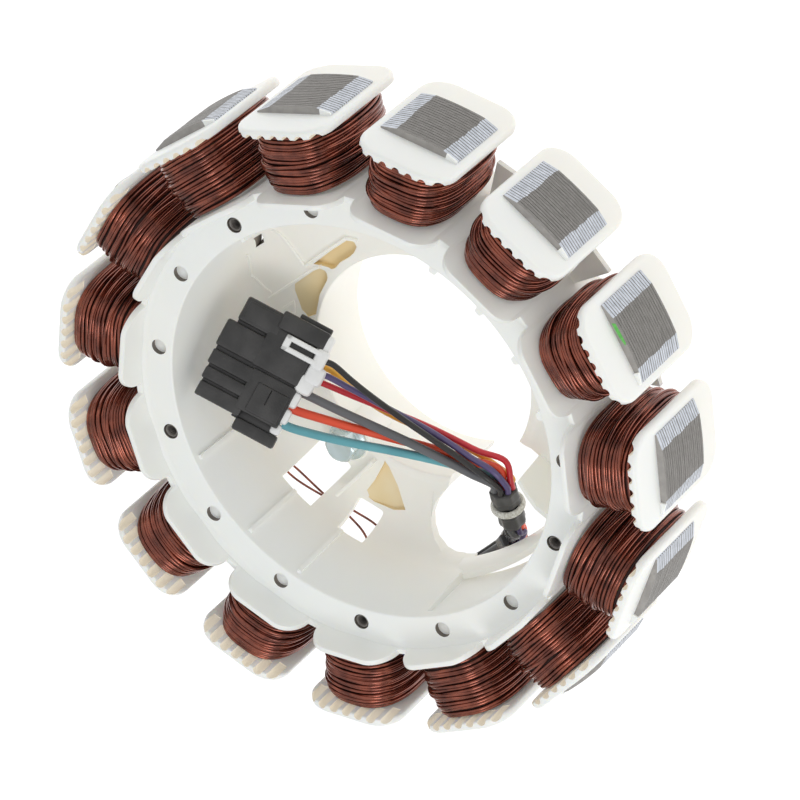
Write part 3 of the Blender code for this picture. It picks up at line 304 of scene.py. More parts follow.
def settle(item, node):
    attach(item, "root")
    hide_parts(node)


tape = finish("harness_tape", (0.050, 0.048, 0.046), (0.085, 0.083, 0.080), 90.0, 0.42, 0.25, 500.0, coat=0.10)
sleeve_length = (sleeve_end - sleeve_top).length
sleeve_place = ring_frame(sleeve_top, sleeve_along)
sleeve_r, tape_laps, twine_at = 0.00445, 4.3, 0.0075
sleeve_rings = []
for i in range(41):
    part = i / 40
    lap = 0.00022 * ((part * tape_laps) % 1.0)
    edge = 0.0006 * (part < 0.02) + 0.0005 * (part > 0.98)
    ring = []
    for k in range(56):
        turn = 2 * pi * k / 56
        bumps = 0.00022 * cos(7 * turn + 1.1) + 0.00016 * sin(3 * turn + 5 * part)
        waist = 0.0009 if abs(part * sleeve_length - twine_at) < 0.0012 else 0.0
        r = sleeve_r * (1 - 0.05 * part) + bumps + lap - edge - waist
        ring.append(sleeve_place @ Vector((r * cos(turn), r * sin(turn), part * sleeve_length)))
    sleeve_rings.append(ring)
sleeve = solid("harness_sleeve_tape", *lofted(sleeve_rings), tape)
settle(sleeve, "harness_sleeve")

twine = finish("lacing_cord", (0.56, 0.54, 0.47), (0.84, 0.83, 0.78), 1400.0, 0.85, 0.8, 3200.0)
strands = []
strand_count, strand_steps, twists = 4, 260, 23
for strand in range(strand_count):
    path = []
    for i in range(strand_steps):
        turn = 2 * pi * i / strand_steps
        twist = twists * turn + 2 * pi * strand / strand_count
        r = 0.00480 + 0.00060 * cos(twist)
        z = twine_at + 0.00085 * sin(twist) + 0.0003 * sin(turn + 0.6)
        path.append(sleeve_place @ Vector((r * cos(turn), r * sin(turn), z)))
    strands.append(tube(path, 0.00046, 6, closed=True))
lashing = solid("lacing_cord_strands", *merged(strands), twine)
settle(lashing, "lacing_cord")

tail_start = sleeve_end + sleeve_along * 0.0003
tail_end = Vector((-0.07595, 0.0027, 0.0352))
tail_knots = [tail_start, tail_start + sleeve_along * 0.0025]
tail_knots += [Vector(p) for p in (
    (-0.0570, -0.0248, 0.0332), (-0.0620, -0.0210, 0.0290), (-0.0670, -0.0150, 0.0272),
    (-0.0715, -0.0080, 0.0285), (-0.0745, -0.0020, 0.0325))]
tail_route = smooth(tail_knots + [tail_end - Vector((0.0, 0.0025, 0.0)), tail_end], 8)[::-1]
front_side, left_side = Vector((0.406, -0.531, 0.743)), Vector((0.192, 0.845, 0.499))
thick_r, thin_r = 0.00148, 0.00098
bundled = {
    "grey": (42.0, 0.0020, thick_r), "orange": (-78.0, 0.0020, thick_r), "teal": (190.0, 0.00175, thick_r),
    "purple": (-20.0, 0.0030, thin_r), "red": (-122.0, 0.0027, thin_r), "black": (100.0, 0.0027, thin_r),
    "yellow": (150.0, 0.0027, thin_r),
}
bundle = {name: [] for name in bundled}
for i, p in enumerate(tail_route):
    along = (tail_route[min(i + 1, len(tail_route) - 1)] - tail_route[max(i - 1, 0)]).normalized()
    front = (front_side - along * front_side.dot(along)).normalized()
    left = along.cross(front)
    if left.dot(left_side) < 0:
        left = -left
    for name, (turn, r, _) in bundled.items():
        a = radians(turn)
        bundle[name].append(p + front * r * cos(a) + left * r * sin(a))
tail_parts, tail_skins, tail_counts = [], [], []
for name, path in bundle.items():
    part = tube(path, bundled[name][2], 12)
    tail_parts.append(part)
    tail_skins.append(bpy.data.materials["lead_" + name])
    tail_counts.append(len(part[1]))
tail = solid("harness_tail_leads", *merged(tail_parts), None, 60.0)
for skin in tail_skins:
    tail.data.materials.append(skin)
index = 0
for number, count in enumerate(tail_counts):
    for face in tail.data.polygons[index:index + count]:
        face.material_index = number
    index += count
settle(tail, "harness_tail")


# Cable tie of dark nylon round the bundle below the sleeve. It is a flat band, drawn tight through a small
# square head and cut off flush.
tie_skin = finish("cable_tie_nylon", (0.045, 0.045, 0.048), (0.080, 0.080, 0.084), 220.0, 0.22, 0.12, 900.0, coat=0.6)
station = round(len(tail_route) * 0.58)
tie_along = (tail_route[station + 1] - tail_route[station - 1]).normalized()
tie_place = ring_frame(tail_route[station], tie_along)
band, band_steps = [], 48
band_section = ((0.0038, -0.0012), (0.0046, -0.0012), (0.0047, 0.0), (0.0046, 0.0012), (0.0038, 0.0012))
for i in range(band_steps):
    turn = 2 * pi * i / band_steps
    band.append([tie_place @ Vector((r * cos(turn), r * sin(turn), z)) for r, z in band_section])
head_side = Vector((0.0, 0.6, 0.8))
head_side = (head_side - tie_along * tie_along.dot(head_side)).normalized()
head_across = tie_along.cross(head_side)
head, head_corners = [], ((-1, -1), (1, -1), (1, 1), (-1, 1))
for lift, inset in ((0.0036, 0.0), (0.0053, 0.0), (0.0058, 0.0005)):
    middle = tail_route[station] + head_side * lift
    wide, long = head_across * (0.0021 - inset), tie_along * (0.0022 - inset)
    head.append([middle + wide * x + long * y for x, y in head_corners])
tie = solid("cable_tie_band", *merged([lofted(band, closed=True), lofted(head)]), tie_skin)
settle(tie, "cable_tie")


# Insulator, moulded in white nylon: a ring with a dish inside it and a centre sleeve. The dish has ribs,
# pockets, two windows and the passage for the leads, under a lip that is bowed out of the wall.
def nylon_finish(name, cool, warm, deep):
    made = finish(name, cool, warm, 14.0, 0.40, 0.10, 650.0, coat=0.08)
    nodes, link = made.node_tree.nodes, made.node_tree.links.new
    shader = nodes["Principled BSDF"]
    shader.inputs["Subsurface Weight"].default_value = 0.25
    shader.inputs["Subsurface Radius"].default_value = (1.0, 0.8, 0.5)
    shader.inputs["Subsurface Scale"].default_value = 0.002
    # Painted glow: a faint warm emission stands in for light that shines through the thin nylon.
    shader.inputs["Emission Color"].default_value = (1.0, 0.98, 0.93, 1.0)
    shader.inputs["Emission Strength"].default_value = 0.10
    # Painted shade: from 64 mm down to 44 mm height the colour is mixed towards the warmer, darker 'deep' tone, for
    # the shade lower in the dish.
    spot = nodes.new("ShaderNodeTexCoord")
    split = nodes.new("ShaderNodeSeparateXYZ")
    link(spot.outputs["Object"], split.inputs["Vector"])
    depth = nodes.new("ShaderNodeMapRange")
    depth.inputs["From Min"].default_value = 0.064
    depth.inputs["From Max"].default_value = 0.044
    depth.inputs["To Max"].default_value = 0.55
    link(split.outputs["Z"], depth.inputs["Value"])
    depth_shade_mix = nodes.new("ShaderNodeMix")
    depth_shade_mix.data_type = "RGBA"
    depth_shade_mix.inputs[7].default_value = (*deep, 1.0)
    link(shader.inputs["Base Color"].links[0].from_socket, depth_shade_mix.inputs[6])
    link(depth.outputs["Result"], depth_shade_mix.inputs["Factor"])
    link(depth_shade_mix.outputs[2], shader.inputs["Base Color"])
    return made


nylon = nylon_finish("natural_nylon", (0.80, 0.82, 0.80), (0.83, 0.835, 0.80), (0.86, 0.83, 0.75))
# Painted shade: a warm yellow-cream given to the pockets' walls and floors, where shade gathers.
pocket_shade_nylon = finish("pocket_painted_shade", (0.90, 0.73, 0.42), (0.92, 0.79, 0.53), 60.0, 0.42, 0.06, 700.0)
# Painted shade and glow: a cream tone for the shade inside the cap's wire grooves, with a faint warm emission for
# light through the thin nylon there.
groove_shade_and_glow = finish("groove_painted_shade_and_glow", (0.92, 0.84, 0.66), (0.94, 0.88, 0.74), 90.0, 0.45, 0.06, 700.0)
groove_glow_shader = groove_shade_and_glow.node_tree.nodes["Principled BSDF"]
groove_glow_shader.inputs["Emission Color"].default_value = (1.0, 0.92, 0.76, 1.0)
groove_glow_shader.inputs["Emission Strength"].default_value = 0.18
recess_wall = finish("recess_shadow", (0.16, 0.14, 0.12), (0.22, 0.19, 0.16), 500.0, 0.55, 0.1, 900.0)

poles = 15
pitch = 2 * pi / poles
face_z, rear_z = 0.0728, 0.0423
mid_z = (face_z + rear_z) / 2
wall_out, wall_in = 0.0830, 0.0810
ring_in, dish_foot, dish_floor, sleeve_in, rim_out = 0.0699, 0.0679, 0.0570, 0.0400, 0.0446
dish_top, rim_z = face_z - 0.0285, face_z - 0.0425
dish_drop, shell = 0.0127, 0.0028
recess_circle, recess_r = 0.0750, 0.0027


def at(turn, r, z=0.0):
    return Vector((r * cos(turn), r * sin(turn), z))


def circle(centre, r, z, steps):
    turns = [2 * pi * k / steps for k in range(steps)]
    return [Vector((centre.x + r * cos(a), centre.y + r * sin(a), z)) for a in turns]


def turned(outline, turn):
    return [(x * cos(turn) - y * sin(turn), x * sin(turn) + y * cos(turn)) for x, y in outline]


def lathed(profile, steps):
    rings = [[at(2 * pi * i / steps, r, z) for r, z in profile] for i in range(steps)]
    return lofted(rings, closed=True)


def prism(outline, low, high):
    return lofted([[Vector((x, y, low)) for x, y in outline], [Vector((x, y, high)) for x, y in outline]])


def sector(from_turn, to_turn, near, far, steps):
    span = [from_turn + (to_turn - from_turn) * i / steps for i in range(steps + 1)]
    return [(near * cos(a), near * sin(a)) for a in span] + [(far * cos(a), far * sin(a)) for a in span[::-1]]


def combine(target, tool, operation):
    step = target.modifiers.new(operation.lower(), "BOOLEAN")
    step.operation = operation
    step.solver = "EXACT"
    step.material_mode = "TRANSFER"
    step.object = tool
    graph = bpy.context.evaluated_depsgraph_get()
    mesh = bpy.data.meshes.new_from_object(target.evaluated_get(graph))
    target.modifiers.clear()
    target.data = mesh
    bpy.data.objects.remove(tool)
    return target


def dress(item, angle=35.0):
    item.data.shade_smooth()
    item.data.set_sharp_from_angle(angle=radians(angle))
    settle(item, "insulator_body")


def rounded_path(corners, fillets, steps=4):
    path = []
    count = len(corners)
    for i, (corner, fillet) in enumerate(zip(corners, fillets)):
        here = Vector(corner)
        if fillet == 0.0:
            path.append(tuple(here))
            continue
        back = (Vector(corners[i - 1]) - here).normalized()
        ahead = (Vector(corners[(i + 1) % count]) - here).normalized()
        for k in range(steps + 1):
            t = k / steps
            path.append(tuple(here + back * fillet * (1 - t) ** 2 + ahead * fillet * t ** 2))
    return path


def dish_curve(steps):
    points = [(dish_foot, dish_top)]
    for i in range(1, steps + 1):
        turn = pi / 2 * i / steps
        points.append((dish_floor + (dish_foot - dish_floor) * cos(turn), dish_top - dish_drop * sin(turn)))
    return points


curve_front = dish_curve(10)
curve_back = []
for i, (r, z) in enumerate(curve_front):
    before, after = Vector(curve_front[max(i - 1, 0)]), Vector(curve_front[min(i + 1, 10)])
    along = (after - before).normalized()
    curve_back.append((r - along.y * shell, z + along.x * shell))
front_edge = rounded_path([(0.0819, face_z + 0.0015), (0.0795, face_z), (ring_in, face_z), (dish_foot, dish_top)],
                          [0.0, 0.0008, 0.0007, 0.0])
rim = rounded_path([(rim_out, rim_z), (0.0422, rim_z + 0.0008), (sleeve_in, rim_z + 0.0008), (0.0404, 0.0158)],
                   [0.0, 0.0007, 0.0007, 0.0])
foot = rounded_path([(0.0414, 0.0148), (0.0424, 0.0), (rim_out, 0.0), (rim_out, rim_z - shell)],
                    [0.0, 0.0006, 0.0006, 0.0])
section = front_edge + curve_front[1:] + rim + foot + curve_back[::-1] + [(0.0709, rear_z), (0.0819, rear_z)]
body = solid("insulator_ring_and_dish", *lathed(section, 240), nylon)

windows = []
for turn, inset, half_w in ((129.8, 0.0148, 0.0068), (149.5, 0.0072, 0.0050)):
    near, far = dish_foot - inset, dish_foot + 0.0032
    corners = rounded_path([(near, -half_w), (far, -half_w), (far, half_w), (near, half_w)], [0.0012] * 4, 3)
    windows.append(prism(turned(corners, radians(turn)), rear_z - 0.030, dish_top - 0.0008))
combine(body, solid("windows", *merged(windows), nylon), "DIFFERENCE")


def plan_points(plan):
    return [at(radians(turn), r / 1000) for turn, r in plan]


# The pockets' plans are in degrees and millimetres round the axis, and their floors slope from the deepest
# spot to the highest one.
pockets = []
for deepest, highest, deep, shallow, plan in (
    ((33.0, 45.0), (33.0, 49.0), 0.0022, 0.0020, (
        (44.3, 49.0), (33.7, 48.0), (23.3, 48.2), (21.6, 47.8), (20.9, 46.4), (21.1, 44.9),
        (23.5, 43.6), (26.5, 43.0), (33.1, 43.2), (37.5, 42.8), (39.7, 43.5), (41.6, 45.9))),
    ((52.0, 41.5), (58.0, 50.4), 0.0022, -0.0004, (
        (57.5, 51.2), (46.0, 47.4), (44.2, 46.5), (43.3, 45.0), (43.3, 43.6), (44.3, 42.5),
        (46.0, 42.1), (54.7, 41.9), (65.9, 41.0), (69.5, 44.0), (66.5, 47.6), (61.5, 50.2))),
    ((154.5, 48.5), (147.0, 59.0), 0.0020, -0.0016, (
        (147.6, 42.9), (150.3, 44.7), (156.2, 49.5), (161.1, 57.0),
        (157.0, 58.8), (149.8, 59.5), (145.6, 59.2), (147.0, 52.0))),
):
    low_spot, high_spot = plan_points([deepest, highest])
    fall = high_spot - low_spot
    outline = plan_points(plan)
    floor = [rim_z - deep + (deep - shallow) * (p - low_spot).dot(fall) / fall.length_squared for p in outline]
    floor = [p + Vector((0, 0, z)) for p, z in zip(outline, floor)]
    pockets.append(lofted([floor, [p + Vector((0, 0, face_z)) for p in outline]]))
# The pockets take the cutter's painted-shade colour.
combine(body, solid("pockets", *merged(pockets), pocket_shade_nylon), "DIFFERENCE")
hole = plan_points(((43.6, 68.2), (42.3, 67.3), (46.9, 65.0), (49.0, 66.2)))
hole = [[p * spread + Vector((0, 0, z)) for p in hole] for spread, z in ((1.012, 0.0338), (0.985, 0.0480))]
combine(body, solid("small_hole", *lofted(hole), recess_wall), "DIFFERENCE")
passage = prism(sector(radians(183.0), radians(231.4), 0.0370, 0.0671, 40), -0.001, dish_top)
combine(body, solid("harness_passage", *passage, nylon), "DIFFERENCE")
bay_plan = ((184.0, 37.0), (182.6, 40.6), (179.6, 44.4), (176.2, 47.0), (172.8, 51.0), (171.0, 55.5),
            (171.2, 60.0), (173.0, 63.4), (176.4, 65.8), (179.6, 66.8), (184.0, 67.1))
bay = prism([p.xy for p in plan_points(bay_plan)], -0.001, dish_top)
combine(body, solid("passage_bay", *bay, nylon), "DIFFERENCE")
lip_slot = prism(sector(radians(187.0), radians(226.0), 0.0661, 0.0709, 30), rear_z - 0.030, face_z - 0.0035)
combine(body, solid("lip_slot", *lip_slot, nylon), "DIFFERENCE")
recesses, insert_seats = [], []
for pole in range(poles):
    centre = at(pitch * pole, recess_circle)
    depth, group = (0.0088, insert_seats) if pole % 3 == 1 else (0.0018, recesses)
    group.append(lofted([circle(centre, recess_r, z, 36) for z in (face_z - depth, face_z + 0.003)]))
combine(body, solid("recesses", *merged(recesses), recess_wall), "DIFFERENCE")
combine(body, solid("insert_seats", *merged(insert_seats), recess_wall), "DIFFERENCE")
for face in body.data.polygons:
    if face.material_index == 2 and face.normal.z > 0.9 and face.center.z > face_z - 0.0020:
        face.material_index = 0
dress(body)


def rib_prism(outline, turn, thick):
    sides = []
    for side in (-thick / 2, thick / 2):
        sides.append([Vector((*turned([(r, side)], turn)[0], z)) for r, z in outline])
    return lofted(sides)


def dish_front_z(r):
    points = [(ring_in, face_z)] + curve_front + [(rim_out, rim_z)]
    for (r0, z0), (r1, z1) in zip(points[:-1], points[1:]):
        if r1 <= r <= r0 and r0 - r1 > 1e-6:
            return z0 + (z1 - z0) * (r0 - r) / (r0 - r1)
    return rim_z


def surface_rib(stations, width):
    points, heights = [], []
    for (t0, r0, h0), (t1, r1, h1) in zip(stations[:-1], stations[1:]):
        for k in range(6):
            part = k / 6
            points.append(at(radians(t0), r0 / 1000).lerp(at(radians(t1), r1 / 1000), part))
            heights.append((h0 + (h1 - h0) * part) / 1000)
    last_turn, last_r, last_height = stations[-1]
    points.append(at(radians(last_turn), last_r / 1000))
    heights.append(last_height / 1000)
    rings = []
    for i, (p, height) in enumerate(zip(points, heights)):
        along = (points[min(i + 1, len(points) - 1)] - points[max(i - 1, 0)]).normalized()
        side = Vector((-along.y, along.x, 0.0)) * width / 2000
        base = Vector((0, 0, dish_front_z(p.length)))
        low, high = base - Vector((0, 0, 0.0008)), base + Vector((0, 0, height))
        edge = Vector((0, 0, min(height * 0.3, 0.0003)))
        left = [p - side + low, p - side + high - edge, p - side * 0.5 + high]
        right = [p + side * 0.5 + high, p + side + high - edge, p + side + low]
        rings.append(left + right)
    return lofted(rings)


details = []
for turn, stop in ((26.0, 3), (105.0, 8), (129.5, 1), (147.0, 1)):
    inner = [(ring_in - 0.0013, face_z - 0.0022), (dish_foot - 0.0013, dish_top)]
    inner += [(r - 0.0011, z + 0.0009) for r, z in curve_front[2:stop]]
    outer = [(ring_in + 0.0008, face_z - 0.0022), (dish_foot + 0.0008, dish_top)]
    outer += [(r + 0.0007, z - 0.0006) for r, z in curve_front[2:stop]]
    details.append(rib_prism(inner + outer[::-1], radians(turn), 0.0014))
nub_out, nub_in = ring_in + 0.001, ring_in - 0.0022
for turn in (-84.0, -67.6, -51.8, -35.8):
    nub = rounded_path([(nub_out, -0.0020), (nub_in, -0.0011), (nub_in, 0.0011), (nub_out, 0.0020)],
                       [0.0, 0.0005, 0.0005, 0.0], 3)
    details.append(prism(turned(nub, radians(turn)), face_z - 0.0060, face_z - 0.0006))
for width, stations in (
    (1.4, ((143.4, 45.0, 2.4), (142.6, 48.5, 3.2), (141.0, 54.7, 5.0), (139.6, 60.4, 7.6))),
    (0.9, ((67.9, 58.5, 0.5), (58.7, 52.7, 0.8), (46.3, 48.1, 1.1), (42.6, 46.6, 1.0))),
    (1.0, ((46.8, 50.6, 1.2), (34.6, 48.8, 1.5), (22.7, 49.1, 1.5), (18.6, 47.0, 1.0))),
    (0.9, ((41.0, 65.6, 0.7), (43.7, 60.4, 0.9), (45.3, 56.2, 0.9), (47.7, 50.5, 1.0))),
    (0.9, ((51.2, 67.4, 0.6), (60.5, 65.0, 0.6), (64.7, 60.4, 0.5), (65.4, 58.0, 0.4))),
    (0.8, ((69.8, 53.1, 0.5), (64.9, 49.8, 0.5), (69.9, 48.9, 0.5), (71.7, 50.5, 0.5))),
):
    details.append(surface_rib(stations, width))
gusset = [(0.0479, 0.0290), (0.0493, 0.0469), (0.0549, 0.0500), (0.0597, 0.0519), (0.0690, 0.0525), (0.0690, 0.0380),
          (0.0600, 0.0310)]
details.append(rib_prism(gusset, radians(-128.6), 0.0016))
bolt_centre = at(radians(129.5), 0.0455)
pad = ((0.0078, rim_z - 0.0138), (0.0078, rim_z + 0.0007), (0.0073, rim_z + 0.0012))
details.append(lofted([circle(bolt_centre, r, z, 48) for r, z in pad]))
ribs = solid("insulator_ribs", *merged(details), nylon)
dress(ribs)

band_rings = []
for i in range(49):
    part = i / 48
    turn = radians(183.0 + 55.0 * part)
    dip = 0.0030 * sin(pi * part) ** 0.6 if 0 < part < 1 else 0.0
    near = dish_foot + 0.0008 - dip
    top, low = face_z - 0.0270, face_z - 0.0352
    corners = [(near + 0.0010, top), (near - 0.0006, (top + low) / 2), (near - 0.0012, low), (near + 0.0018, low),
               (near + 0.0034, top)]
    shape = rounded_path(corners, [0.0006, 0.0008, 0.0006, 0.0006, 0.0006], 2)
    band_rings.append([at(turn, r, z) for r, z in shape])
lip = solid("insulator_lip", *lofted(band_rings), nylon)
dress(lip)

petal_half = wall_out * pitch / 2 - 0.00198
petal_flat = petal_half - 0.0079


def petal_rise(s):
    part = min(max((abs(s) - petal_flat) / (petal_half - petal_flat), 0.0), 1.0)
    return 0.00225 + 0.0099 * sqrt(max(0.0, 1 - part ** 2))


columns = []
for pole in range(poles):
    shoulder = [petal_flat + (petal_half - petal_flat) * sin(pi / 2 * i / 12) for i in range(13)]
    for s in [-v for v in shoulder[::-1]] + shoulder:
        turn = pitch * pole + s / wall_out
        top, low = face_z + petal_rise(s), rear_z - petal_rise(s)
        shape = rounded_path([(wall_in, top), (wall_in, low), (wall_out, low), (wall_out, top)], [0.0006] * 4, 2)
        columns.append([at(turn, r, z) for r, z in shape])
petals = solid("insulator_petals", *lofted(columns, closed=True), nylon)
dress(petals)

# Each pole carries a bobbin of the same moulding: a square tube for the wire and a rounded cap on its end,
# with seven wire grooves under the cap's edge. Webs close the slots between the poles at the rear.
tube_half, cap_in, cap_out = 0.0087, 0.10385, 0.10690
cap_w, cap_h, cap_round = 0.01690, 0.0265, 0.0094


def cap_rim(inset, steps=9):
    points = []
    r = cap_round - inset
    for quarter, (sx, sz) in enumerate(((1, 1), (-1, 1), (-1, -1), (1, -1))):
        cy, cz = sx * (cap_w - cap_round), sz * (cap_h - cap_round)
        for i in range(steps + 1):
            a = pi / 2 * (quarter + i / steps)
            points.append((cy + r * cos(a), mid_z + cz + r * sin(a)))
    return points


def add_faces(mesh, verts, faces):
    made = [mesh.verts.new(v) for v in verts]
    for face in faces:
        mesh.faces.new([made[i] for i in face])


levels = (
    (cap_in, 0.0005), (cap_in + 0.0002, 0.0002), (cap_in + 0.0005, 0.0), (cap_out - 0.0012, 0.0),
    (cap_out - 0.0007, 0.00015), (cap_out - 0.0003, 0.00055), (cap_out - 0.0001, 0.0009), (cap_out, 0.0014))
cap = solid("cap", *lofted([[Vector((x, y, z)) for y, z in cap_rim(inset)] for x, inset in levels]), nylon)
grooves = []
groove_pitch, groove_half = 0.0046, 0.0015
for i in range(7):
    s = groove_pitch * (i - 3)
    past = max(0.0, abs(s) - (cap_w - cap_round))
    top = mid_z + cap_h - (cap_round - sqrt(cap_round ** 2 - past ** 2))
    scoop = []
    for z, depth in ((top - 0.0075, 0.0001), (top - 0.0048, 0.0008), (top - 0.0018, 0.0014), (top + 0.001, 0.0017)):
        turns = [pi * k / 10 for k in range(11)]
        outline = [(cap_in + depth * sin(a), s - groove_half * cos(a)) for a in turns]
        outline = [(cap_in - 0.001, s - groove_half)] + outline + [(cap_in - 0.001, s + groove_half)]
        scoop.append([Vector((x, y, z)) for x, y in outline])
    grooves.append(lofted(scoop))
# The grooves take the cutter's painted shade and glow.
combine(cap, solid("grooves", *merged(grooves), groove_shade_and_glow), "DIFFERENCE")
one_bobbin = bmesh.new()
one_bobbin.from_mesh(cap.data)
tube_from, tube_to = wall_in - 0.001, cap_in + 0.0008
tube_plan = [(tube_from, -tube_half), (tube_to, -tube_half), (tube_to, tube_half), (tube_from, tube_half)]
add_faces(one_bobbin, *prism(tube_plan, rear_z, face_z))
wedge = [(cap_out - 0.0003, -0.01385), (cap_out + 0.0008, -0.01385), (cap_out + 0.0020, -0.0100),
         (cap_out - 0.0003, -0.0098)]
add_faces(one_bobbin, *prism(wedge, mid_z + 0.0126, mid_z + 0.0134))
pattern = bpy.data.meshes.new("bobbin_pattern")
one_bobbin.to_mesh(pattern)
all_bobbins = bmesh.new()
coil_half, web_out = 0.0154, 0.0966
for pole in range(poles):
    copy = pattern.copy()
    copy.transform(Matrix.Rotation(pitch * pole, 4, "Z"))
    all_bobbins.from_mesh(copy)
    reach = wall_out - 0.001
    near, far = [(x * sin(pitch / 2) - coil_half - 0.0003) / cos(pitch / 2) for x in (reach, web_out)]
    web = turned([(reach, -near), (web_out, -far), (web_out, far), (reach, near)], pitch * (pole + 0.5))
    add_faces(all_bobbins, *prism(web, rear_z, rear_z + 0.0020))
bmesh.ops.recalc_face_normals(all_bobbins, faces=all_bobbins.faces[:])
bobbin_mesh = bpy.data.meshes.new("insulator_bobbins")
all_bobbins.to_mesh(bobbin_mesh)
bobbins = bpy.data.objects.new("insulator_bobbins", bobbin_mesh)
bpy.context.scene.collection.objects.link(bobbins)
for skin in (nylon, groove_shade_and_glow):
    bobbin_mesh.materials.append(skin)
bpy.data.objects.remove(cap)
dress(bobbins)


# Core of stamped steel plates, seen only as the fifteen pole shoes: twenty plates each, with a ground crown
# and bare slopes whose bright bluish colour is a painted reflection. The insulator is moulded round it.
crown_steel = finish("ground_steel", (0.20, 0.19, 0.175), (0.29, 0.275, 0.26), 420.0, 0.48, 0.35, 2600.0,
                     metallic=0.5, squeeze=(1, 1, 6))
# Painted reflection: the slopes' pale bluish colour stands in for the bright room that they mirror.
slope_reflection_steel = finish("slope_painted_reflection", (0.52, 0.55, 0.60), (0.66, 0.69, 0.75), 500.0, 0.38, 0.2, 1800.0, metallic=0.35)
end_steel = finish("plate_face", (0.35, 0.33, 0.315), (0.42, 0.40, 0.38), 300.0, 0.55, 0.1, 1500.0, metallic=0.3)
gap_steel = finish("plate_gap", (0.040, 0.042, 0.050), (0.060, 0.062, 0.070), 500.0, 0.6, 0.1, 1500.0, metallic=0.2)
plate_count, plate_share, stack = 20, 0.76, 0.0254
shoe_half, foot_r, crown_r = 0.01385, 0.1083, 0.10935
foot_x = sqrt(foot_r ** 2 - shoe_half ** 2)
crown_edge = crown_r * sin(radians(4.63))


def slope_x(y):
    part = (shoe_half - abs(y)) / (shoe_half - crown_edge)
    flat = foot_x + (sqrt(crown_r ** 2 - crown_edge ** 2) - foot_x) * part
    return min(flat, sqrt(crown_r ** 2 - y * y))


def shoe(number):
    dice = random.Random(100 + number)
    lean = [dice.uniform(-0.0005, 0.0005), dice.uniform(-0.0005, 0.0005)]
    wander = [0.0, 0.0]
    verts, faces, skins = [], [], []
    step = stack / plate_count
    for i in range(2 * plate_count - 1):
        plate = i % 2 == 0
        low = mid_z - stack / 2 + step * (i // 2) + (0.0 if plate else step * plate_share)
        high = low + step * (plate_share if plate else 1 - plate_share)
        if i == 2 * plate_count - 2:
            high = mid_z + stack / 2
        sink = 0.0 if plate else 0.00035
        if plate:
            wander = [w * 0.6 + dice.uniform(-0.00022, 0.00022) for w in wander]
        edges = [crown_edge + wander[k] + lean[k] * (i / 40 - 0.5) for k in range(2)]
        rise = dice.uniform(-0.00004, 0.00004) if plate else 0.0
        crown_ys = [-edges[0] + (edges[0] + edges[1]) * k / 8 for k in range(1, 8)]
        ys = [-shoe_half, -edges[0]] + crown_ys + [edges[1], shoe_half]
        outline = [(slope_x(y) - sink + rise, y * (1 - sink / shoe_half)) for y in ys]
        outline = [(cap_out - 0.0006, sink - shoe_half)] + outline + [(cap_out - 0.0006, shoe_half - sink)]
        base = len(verts)
        count = len(outline)
        verts += [Vector((x, y, low)) for x, y in outline] + [Vector((x, y, high)) for x, y in outline]
        for k in range(count):
            n = (k + 1) % count
            faces.append((base + k, base + n, base + count + n, base + count + k))
            on_crown = 2 <= k < count - 3
            skins.append(3 if not plate else 0 if on_crown else 1)
        faces += [tuple(range(base, base + count))[::-1], tuple(range(base + count, base + 2 * count))]
        skins += [2, 2]
    return verts, faces, skins


core_parts, core_skins = [], []
for pole in range(poles):
    shoe_verts, shoe_faces, skins = shoe(pole)
    turn = Matrix.Rotation(pitch * pole, 4, "Z")
    core_parts.append(([turn @ v for v in shoe_verts], shoe_faces))
    core_skins += skins
core = solid("stator_core_plates", *merged(core_parts), crown_steel, 30.0)
for skin in (slope_reflection_steel, end_steel, gap_steel):
    core.data.materials.append(skin)
core.data.polygons.foreach_set("material_index", core_skins)
settle(core, "stator_core")

# Dab of green marking paint, brushed across the front plate of one pole.
green_paint = finish("green_paint", (0.10, 0.46, 0.08), (0.16, 0.58, 0.12), 900.0, 0.35, 0.1, 900.0)
dab_top = mid_z + stack / 2
dab_outline = [(0.1076, 0.0074), (0.1089, 0.0070), (0.1092, 0.0002), (0.1086, -0.0006), (0.1079, 0.0025)]
dab = solid("paint_dab", *prism(dab_outline, dab_top - 0.0001, dab_top + 0.0001), green_paint)
dab.data.transform(Matrix.Rotation(pitch * 12, 4, "Z"))
settle(dab, "stator_core")


# Coils of enamelled copper wire, wound by machine: seventeen turns show on each bobbin, over an inner layer
# painted near-black as shade between the turns, with a few loops that crossed the others on the way.
enamel = finish("enamelled_wire", (0.140, 0.034, 0.020), (0.330, 0.088, 0.050), 160.0, 0.20, 0.05, 900.0,
                metallic=0.85, coat=0.6, coat_roughness=0.08)
# Painted shade: the inner layer is near-black so that the gaps between the turns read as shade.
painted_shade_layer = finish("painted_shade_layer", (0.030, 0.010, 0.008), (0.050, 0.016, 0.012), 300.0, 0.5, 0.3, 700.0, metallic=0.2)
wire_r, coil_turns = 0.00059, 17
coil_from, coil_to = wall_out + 0.0003 + wire_r, cap_in - 0.0002 - wire_r
coil_height, turn_steps, loop_steps = 0.0234, 60, 72


def coil_rim(x, angle, out):
    part = (x - coil_from) / (coil_to - coil_from)
    tuck = 0.0014 * max(0.0, 1 - part / 0.34) ** 2 + 0.0008 * max(0.0, (part - 0.80) / 0.20) ** 2
    half_w = coil_half - wire_r - tuck + out
    half_h = coil_height - wire_r - tuck + out
    power = 2.8
    c, s = cos(angle), sin(angle)
    r = (abs(c / half_w) ** power + abs(s / half_h) ** power) ** (-1 / power)
    return Vector((x, r * c, mid_z + r * s))


